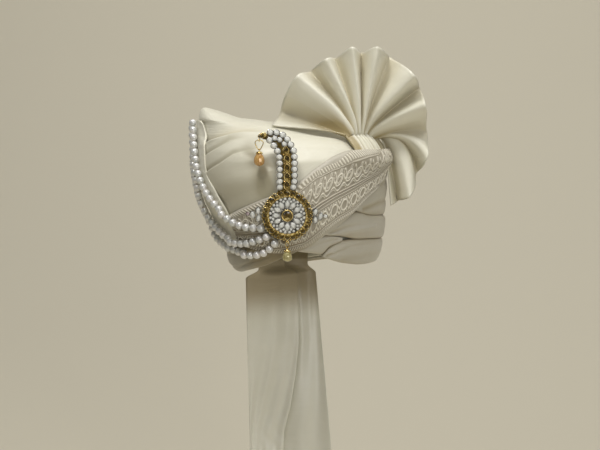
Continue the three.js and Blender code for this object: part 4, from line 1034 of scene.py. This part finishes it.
bpy.ops.mesh.primitive_cone_add(
    vertices=10, radius1=0.001, radius2=0.0005, depth=0.0014, location=(0, 0, 0.0015))
leaf_stone = fresh("leaf_stone")
bpy.context.view_layer.objects.active = leaf_stone
leaf_stone.select_set(True)
bpy.ops.object.transform_apply(location=True)
for vertex in leaf_stone.data.vertices:
    y = vertex.co.y / 0.001
    vertex.co.x *= math.sqrt(max(0.05, 1 - abs(y) ** 2.4))
    if vertex.co.z < 0.001:
        vertex.co.z = 0
bpy.ops.object.select_all(action="DESELECT")

# Painted reflections: each facet brighter towards the stone's local -y side, mixed with some at random.
chance = np.random.default_rng(7)
for model in (round_stone, leaf_stone):
    facets = model.data.attributes.new("painted_facet_light", "FLOAT", "FACE")
    lit = [0.5 - 0.75 * polygon.center.y / 0.001 for polygon in model.data.polygons]
    facets.data.foreach_set("value", np.clip(0.7 * np.array(lit) + 0.3 * chance.random(len(lit)), 0, 1))

bpy.ops.mesh.primitive_uv_sphere_add(segments=10, ring_count=6, radius=0.001)
grain = fresh("grain")
for polygon in grain.data.polygons:
    polygon.use_smooth = True
bpy.ops.mesh.primitive_torus_add(
    major_segments=20, minor_segments=6, major_radius=0.001, minor_radius=0.00014)
cup = fresh("cup")
for polygon in cup.data.polygons:
    polygon.use_smooth = True


def scaled(x, y, z):
    return Matrix.Diagonal((x, y, z, 1))


def seats(rows, wide, long, base=STONE_BASE, deep=1.0):
    """Places for stones from rows of across, up and turn, in millimetres and radians."""
    return [
        brooch_place(across, up) @ Matrix.Translation((0, 0, base / 1000))
        @ Matrix.Rotation(spin, 4, "Z") @ scaled(wide, long, deep)
        for across, up, spin in rows
    ]


def around(count, radius, first=0.0):
    """Rows of across, up and turn for stones spaced round the disc."""
    rows = []
    for i in range(count):
        angle = 2 * math.pi * i / count + first
        rows.append((radius * math.sin(angle), radius * math.cos(angle), -angle))
    return rows


bpy.ops.mesh.primitive_cylinder_add(vertices=64, radius=DISC / 1000, depth=PLATE / 1000)
plate = fresh("brooch_plate")
plate.data.transform(brooch_place(0, 0) @ Matrix.Translation((0, 0, PLATE / 2000)))
stem_line = smooth((
    (0, -0.02), (0.5, -0.02), (1, -0.02), (1.5, -0.03), (1.9, -0.12), (2.25, -0.3), (2.6, -0.62), (3, -0.98),
))
stem_up = smooth((
    (0, 0.8), (0.5, 1.3), (1, 1.8), (1.5, 2.3), (1.9, 2.65), (2.25, 2.93), (2.6, 3.12), (3, 3.16),
))
STEM_HALF = 11.2
STEM_STEPS = 60
verts, faces = [], []
for j in range(STEM_STEPS + 1):
    at = 3 * j / STEM_STEPS
    x, y = float(stem_line(at)) * DISC, float(stem_up(at)) * DISC
    dx = (float(stem_line(min(at + 0.02, 3))) - float(stem_line(max(at - 0.02, 0)))) * DISC
    dy = (float(stem_up(min(at + 0.02, 3))) - float(stem_up(max(at - 0.02, 0)))) * DISC
    norm = math.hypot(dx, dy)
    half = STEM_HALF * (1 - 0.72 * float(ease(0.6, 1, j / STEM_STEPS)))
    for side, level in ((-half, 0), (half, 0), (half, PLATE), (-half, PLATE)):
        place = brooch_place(x + dy / norm * side, y - dx / norm * side)
        verts.append(place @ Vector((0, 0, level / 1000)))
for j in range(STEM_STEPS):
    first, second = 4 * j, 4 * j + 4
    for k in range(4):
        faces.append((first + k, first + (k + 1) % 4, second + (k + 1) % 4, second + k))
last = 4 * STEM_STEPS
faces += [(3, 2, 1, 0), (last, last + 1, last + 2, last + 3)]
stem_mesh = bpy.data.meshes.new("brooch_stem")
stem_mesh.from_pydata(verts, [], faces)
stem = bpy.data.objects.new("brooch_stem", stem_mesh)
bpy.context.collection.objects.link(stem)
put(plate, old_gold, "gold", "kalgi_setting")
put(stem, old_gold, "gold")

# The disc's stones, from the rim inwards: gold grains, amber stones in gold cups, small clear stones, a
# flower of clear leaf stones with small ones between their tips, silver grains and the large amber stone.
bpy.ops.mesh.primitive_cylinder_add(vertices=48, radius=0.0229, depth=0.0006)
inner_plate = fresh("inner_plate")
inner_plate.data.transform(brooch_place(0, 0) @ Matrix.Translation((0, 0, (PLATE + 0.1) / 1000)))
put(inner_plate, silver, "clear_stone")

RING_COUNT, PETAL_COUNT = 24, 12
ring_seats = around(RING_COUNT, 27.2)
ring_stones = copies(round_stone, seats(ring_seats, 2.85, 3.6, deep=1.25), "ring_stones")
put(ring_stones, amber, "amber_stone", "kalgi_ring_stones")
ring_cups = copies(cup, seats(ring_seats, 3.1, 3.9, base=PLATE + 0.5, deep=2.4), "ring_cups")
put(ring_cups, gold, "gold")
between_ring = around(RING_COUNT, 24.2, math.pi / RING_COUNT)
ring_grains = copies(grain, seats(between_ring, 1.15, 1.15, base=PLATE + 0.9), "ring_grains")
put(ring_grains, gold, "gold")
outer_grains = copies(grain, seats(around(2 * RING_COUNT, 31.3), 1.0, 1.0, base=PLATE), "outer_grains")
put(outer_grains, gold, "gold")
inner_seats = around(RING_COUNT, 21.4, math.pi / RING_COUNT)
inner_grains = copies(round_stone, seats(inner_seats, 1.75, 1.75, deep=1.1), "inner_grains")
put(inner_grains, clear, "clear_stone")
petal_seats = around(PETAL_COUNT, 14.6)
petals = copies(leaf_stone, seats(petal_seats, 3.4, 5.0, deep=1.5), "petal_stones")
put(petals, clear, "clear_stone", "kalgi_petal_stones")
petal_rims = copies(cup, seats(petal_seats, 3.7, 5.3, base=PLATE + 0.5, deep=3), "petal_rims")
put(petal_rims, silver, "clear_stone")
between_petals = around(PETAL_COUNT, 18.3, math.pi / PETAL_COUNT)
petal_claws = copies(round_stone, seats(between_petals, 1.6, 1.6, base=PLATE + 0.8), "petal_claws")
put(petal_claws, clear, "clear_stone")
heart_claws = copies(grain, seats(around(16, 8.9), 0.95, 0.95, base=PLATE + 0.9), "heart_claws")
put(heart_claws, silver, "clear_stone")
centre = copies(round_stone, seats([(0, 0, 0)], 5.9, 5.9, deep=1.7), "centre_stone")
put(centre, amber, "amber_stone", "kalgi_centre_stone")
bezel = copies(cup, seats([(0, 0, 0)], 6.7, 6.7, base=PLATE + 1.3, deep=9), "centre_bezel")
put(bezel, gold, "gold")

# The stem's stones: a row of round clear stones in silver on each side, which fill the curl, and between
# them amber leaf stones in gold. A last amber leaf closes the curl's tip.
RIGHT_STONES = (
    (0.25, 1.14), (0.285, 1.36), (0.29, 1.6), (0.29, 1.84), (0.29, 2.08), (0.285, 2.33), (0.25, 2.57),
    (0.14, 2.81), (0, 3.03), (-0.18, 3.21), (-0.43, 3.31), (-0.68, 3.31),
)
LEFT_STONES = (
    (-0.3, 1.14), (-0.3, 1.36), (-0.3, 1.6), (-0.3, 1.84), (-0.3, 2.08), (-0.32, 2.32), (-0.39, 2.56),
    (-0.53, 2.78), (-0.7, 3.0),
)
CURL_STONES = ((-0.12, 2.84), (-0.3, 3.02), (-0.5, 3.08))
AMBER_STONES = ((-0.01, 1.2, 0), (-0.01, 1.54, 0), (-0.01, 1.88, 0), (-0.015, 2.24, 0), (-0.06, 2.58, 0.15))
right_rows = [(x * DISC, y * DISC, 0.4 * i) for i, (x, y) in enumerate(RIGHT_STONES)]
left_rows = [(x * DISC, y * DISC, 0.5 * i) for i, (x, y) in enumerate(LEFT_STONES)]
curl_rows = [(x * DISC, y * DISC, 0.7 * i) for i, (x, y) in enumerate(CURL_STONES)]
amber_rows = [(x * DISC, y * DISC, spin) for x, y, spin in AMBER_STONES]
right_stones = copies(round_stone, seats(right_rows, 3.35, 3.35, deep=1.35), "right_stones")
put(right_stones, clear, "clear_stone", "kalgi_right_stones")
left_stones = copies(round_stone, seats(left_rows, 3.35, 3.35, deep=1.35), "left_stones")
put(left_stones, clear, "clear_stone", "kalgi_left_stones")
curl_fill = copies(round_stone, seats(curl_rows, 2.9, 2.9, deep=1.2), "curl_fill")
put(curl_fill, clear, "clear_stone")
stem_seats = seats(right_rows + left_rows, 3.85, 3.85, base=PLATE + 0.7, deep=3.4)
stem_seats += seats(curl_rows, 3.3, 3.3, base=PLATE + 0.6, deep=3)
stem_cups = copies(cup, stem_seats, "stem_cups")
put(stem_cups, silver, "clear_stone")
stem_stones = copies(leaf_stone, seats(amber_rows, 3.4, 4.5, deep=1.4), "stem_stones")
put(stem_stones, amber, "amber_stone", "kalgi_stem_stones")
stem_rims = copies(cup, seats(amber_rows, 3.7, 4.9, base=PLATE + 0.6, deep=3.4), "stem_rims")
put(stem_rims, gold, "gold")
gold_rows = []
for (x, y, _), (nx, ny, _) in zip(amber_rows[:-1], amber_rows[1:]):
    for side in (-3.4, 0, 3.4):
        gold_rows.append(((x + nx) / 2 + side, (y + ny) / 2, 0))
stem_grains = copies(grain, seats(gold_rows, 1.1, 1.1, base=PLATE + 0.6), "stem_grains")
put(stem_grains, gold, "gold")
curl_seat = [(-1.0 * DISC, 3.2 * DISC, 1.95)]
curl_stone = copies(leaf_stone, seats(curl_seat, 2.9, 5.0, deep=1.4), "curl_stone")
put(curl_stone, amber, "amber_stone", "kalgi_curl_stone")
curl_rim = copies(cup, seats(curl_seat, 3.1, 5.2, base=PLATE + 0.4, deep=2.6), "curl_rim")
put(curl_rim, gold, "gold")

# Side sprays: three leaf stones each, set loose of the disc's rim, with a small round stone at the end.
LEFT_SPRAY = ((-1.17, 0.18, 0.1), (-1.15, -0.11, -0.05), (-1.38, 0.03, 0.25))
RIGHT_SPRAY = ((1.12, 0.13, -0.1), (1.12, -0.18, 0.05), (1.33, -0.04, -0.2))
END_STONES = {"left": (-1.58, 0.07, rose), "right": (1.53, -0.04, clear)}
for side, rows in (("left", LEFT_SPRAY), ("right", RIGHT_SPRAY)):
    placed = [(x * DISC, y * DISC, spin) for x, y, spin in rows]
    spray = copies(leaf_stone, seats(placed, 2.8, 4.4, base=0.4, deep=1.4), side + "_spray")
    put(spray, clear, "clear_stone", f"kalgi_{side}_spray")
    rims = copies(cup, seats(placed, 3.0, 4.6, base=0.8, deep=2.6), side + "_spray_rims")
    put(rims, silver, "clear_stone")
    across, up, glass = END_STONES[side]
    end_seat = [(across * DISC, up * DISC, 0)]
    end_stone = copies(round_stone, seats(end_seat, 2.2, 2.2, base=0.4, deep=1.2), side + "_end_stone")
    put(end_stone, glass, "clear_stone")
    end_cup = copies(cup, seats(end_seat, 2.5, 2.5, base=0.8, deep=2.4), side + "_end_cup")
    put(end_cup, silver, "clear_stone")

# Drops: an open heart of gold wire hangs from the curl with a capped honey pear bead below it, and a
# short link hangs from the disc's foot with a capped straw bead. Each loop is listed across and down.
WIRE = 0.6
EYE = 2.0


def eye_place(across, up):
    """The place of a drop's eye below a point of the plate's edge."""
    below = (25 / 8 if up > 0 else 0) + EYE - 0.1
    aside = -3.2 if up > 0 else 0
    return brooch_place(across * DISC + aside, up * DISC - below) @ Matrix.Translation((0, 0, PLATE / 2000))


def add_drop(name, place, loop, wide, long, glass, slot):
    eye = place.translation * 1000
    bpy.ops.mesh.primitive_torus_add(
        major_segments=24, minor_segments=8, major_radius=EYE / 1000, minor_radius=WIRE / 1000)
    ring = fresh(name + "_eye")
    ring.data.transform(place @ Matrix.Rotation(math.pi / 2, 4, "Y"))
    put(ring, gold, "gold")
    top = eye.z + EYE - 2 * WIRE - 0.3
    line = bpy.data.curves.new(name + "_wire", "CURVE")
    line.dimensions = "3D"
    spline = line.splines.new("NURBS")
    spline.points.add(len(loop) - 1)
    for point, (across, down) in zip(spline.points, loop):
        point.co = ((eye.x + across) / 1000, eye.y / 1000, (top - down) / 1000, 1)
    spline.use_cyclic_u = True
    spline.order_u = 3
    line.bevel_depth = WIRE / 1000
    line.bevel_resolution = 3
    wire = bpy.data.objects.new(name + "_wire", line)
    bpy.context.collection.objects.link(wire)
    bpy.context.view_layer.objects.active = wire
    wire.select_set(True)
    bpy.ops.object.convert(target="MESH")
    wire = fresh(name + "_wire")
    put(wire, gold, "gold", name + "_loop")
    lowest = top - max(down for _, down in loop)
    bail_z = lowest + 2 * WIRE + 0.3 - 1.8
    bpy.ops.mesh.primitive_torus_add(
        major_segments=20, minor_segments=8, major_radius=0.0018, minor_radius=WIRE / 1000)
    bail = fresh(name + "_bail")
    at = Matrix.Translation((eye.x / 1000, eye.y / 1000, bail_z / 1000))
    bail.data.transform(at @ Matrix.Rotation(math.pi / 2, 4, "Y"))
    put(bail, gold, "gold", name + "_cap")
    cap_top = lowest + 2 * WIRE + 0.3 - 3.2
    cap_seats = [Matrix.Translation((eye.x / 1000, eye.y / 1000, (cap_top - 1.6) / 1000)) @ scaled(
        wide * 0.3, wide * 0.3, 1.7)]
    cap = copies(grain, cap_seats, name + "_cap_dome")
    put(cap, gold, "gold")
    frill = []
    for i in range(8):
        angle = 2 * math.pi * i / 8
        reach = wide * 0.27
        spot = Vector((eye.x + reach * math.cos(angle), eye.y + reach * math.sin(angle), cap_top - 2.6))
        frill.append(Matrix.Translation(spot / 1000) @ scaled(0.8, 0.8, 1.0))
    petals_of_cap = copies(grain, frill, name + "_cap_petals")
    put(petals_of_cap, gold, "gold")
    bpy.ops.mesh.primitive_uv_sphere_add(segments=14, ring_count=12, radius=1.0)
    bead = fresh(name + "_glass")
    profile = smooth(((0, 0), (0.05, 0.44), (0.22, 0.78), (0.45, 0.98), (0.66, 1), (0.88, 0.76), (1, 0)))
    for vertex in bead.data.vertices:
        down = (1 - vertex.co.z) / 2
        spread = math.hypot(vertex.co.x, vertex.co.y)
        if spread > 1e-6:
            keep = float(profile(down)) * wide / 2 / spread
            vertex.co.x *= keep
            vertex.co.y *= keep
        vertex.co.z = -down * long
    foot = Matrix.Translation((eye.x / 1000, eye.y / 1000, (cap_top - 2.4) / 1000))
    bead.data.transform(foot @ scaled(0.001, 0.001, 0.001))
    put(bead, glass, slot, name + "_bead")


HEART = (
    (0, 0), (1.6, 0), (4.9, 2.0), (5.2, 5.0), (3.0, 9.4), (0.9, 12.7),
    (-0.9, 12.7), (-3.0, 9.4), (-5.2, 5.0), (-4.9, 2.0), (-1.6, 0),
)
LINK = ((0, 0), (1.2, 0), (2.2, 2), (2, 5), (1.2, 8.4), (-1.2, 8.4), (-2, 5), (-2.2, 2), (-1.2, 0))
add_drop("upper_drop", eye_place(-1.02, 3.17), HEART, 13.8, 16.6, honey, "amber_stone")
add_drop("lower_drop", eye_place(0, -1), LINK, 12.4, 13.4, straw, "clear_stone")
for model in (round_stone, leaf_stone, grain, cup):
    bpy.data.objects.remove(model)

# Stage: a pale paper sweep that is the floor and curves up into the backdrop, a soft studio light high
# in front, a weak fill, a light for the backdrop, and the camera at the photograph's angle.
curve = [(-3.0, -0.42), (-1.0, -0.42), (0.0, -0.42)]
for i in range(41):
    bend = math.pi / 2 * i / 40
    curve.append((0.35 + 1.7 * math.sin(bend), 1.28 - 1.7 * math.cos(bend)))
curve += [(2.05, 2.2), (2.05, 4.0)]
sweep_points = [(x, y, z) for y, z in curve for x in (-5.0, 5.0)]
sweep_faces = [(2 * i, 2 * i + 1, 2 * i + 3, 2 * i + 2) for i in range(len(curve) - 1)]
sweep_mesh = bpy.data.meshes.new("sweep")
sweep_mesh.from_pydata(sweep_points, [], sweep_faces)
sweep_mesh.polygons.foreach_set("use_smooth", [True] * len(sweep_faces))
sweep = bpy.data.objects.new("sweep", sweep_mesh)
bpy.context.collection.objects.link(sweep)
paper = bpy.data.materials.new("paper")
paper.use_nodes = True
nodes, links = paper.node_tree.nodes, paper.node_tree.links
fibre = nodes.new("ShaderNodeTexNoise")
fibre.inputs["Scale"].default_value = 3
ramp = tone_ramp(paper.node_tree, (0, (0.63, 0.59, 0.485)), (1, (0.655, 0.615, 0.505)))
links.new(fibre.outputs["Fac"], ramp.inputs["Fac"])
links.new(ramp.outputs["Color"], nodes["Principled BSDF"].inputs["Base Color"])
nodes["Principled BSDF"].inputs["Roughness"].default_value = 0.9
sweep.data.materials.append(paper)


def area_light(name, place, towards, size, power):
    data = bpy.data.lights.new(name, "AREA")
    data.size = size
    data.energy = power
    data.color = (1, 0.985, 0.95)
    lamp = bpy.data.objects.new(name, data)
    lamp.location = place
    lamp.rotation_euler = (Vector(towards) - Vector(place)).to_track_quat("-Z", "Y").to_euler()
    bpy.context.collection.objects.link(lamp)


area_light("key", (-0.5, -0.85, 2.05), (0, 0, 0.08), 0.5, 20.5)
area_light("fill", (0.9, -2.3, 0.6), (0, 0, 0), 1.2, 14)
area_light("wall", (0.6, -0.2, 2.6), (0.2, 2.0, 0.1), 2.2, 40)
world = bpy.data.worlds.new("studio")
bpy.context.scene.world = world
world.use_nodes = True
world.node_tree.nodes["Background"].inputs["Color"].default_value = (0.86, 0.84, 0.8, 1)
world.node_tree.nodes["Background"].inputs["Strength"].default_value = 0.16

camera = bpy.data.cameras.new("camera")
camera.sensor_width = 36
camera.lens = 88.9
view = bpy.data.objects.new("camera", camera)
tilt = math.radians(5)
view.location = (-0.004, -2.0 * math.cos(tilt), 0.05 + 2.0 * math.sin(tilt))
view.rotation_euler = (math.pi / 2 - tilt, 0, 0)
bpy.context.collection.objects.link(view)
bpy.context.scene.camera = view
bpy.context.scene.view_settings.view_transform = "Standard"
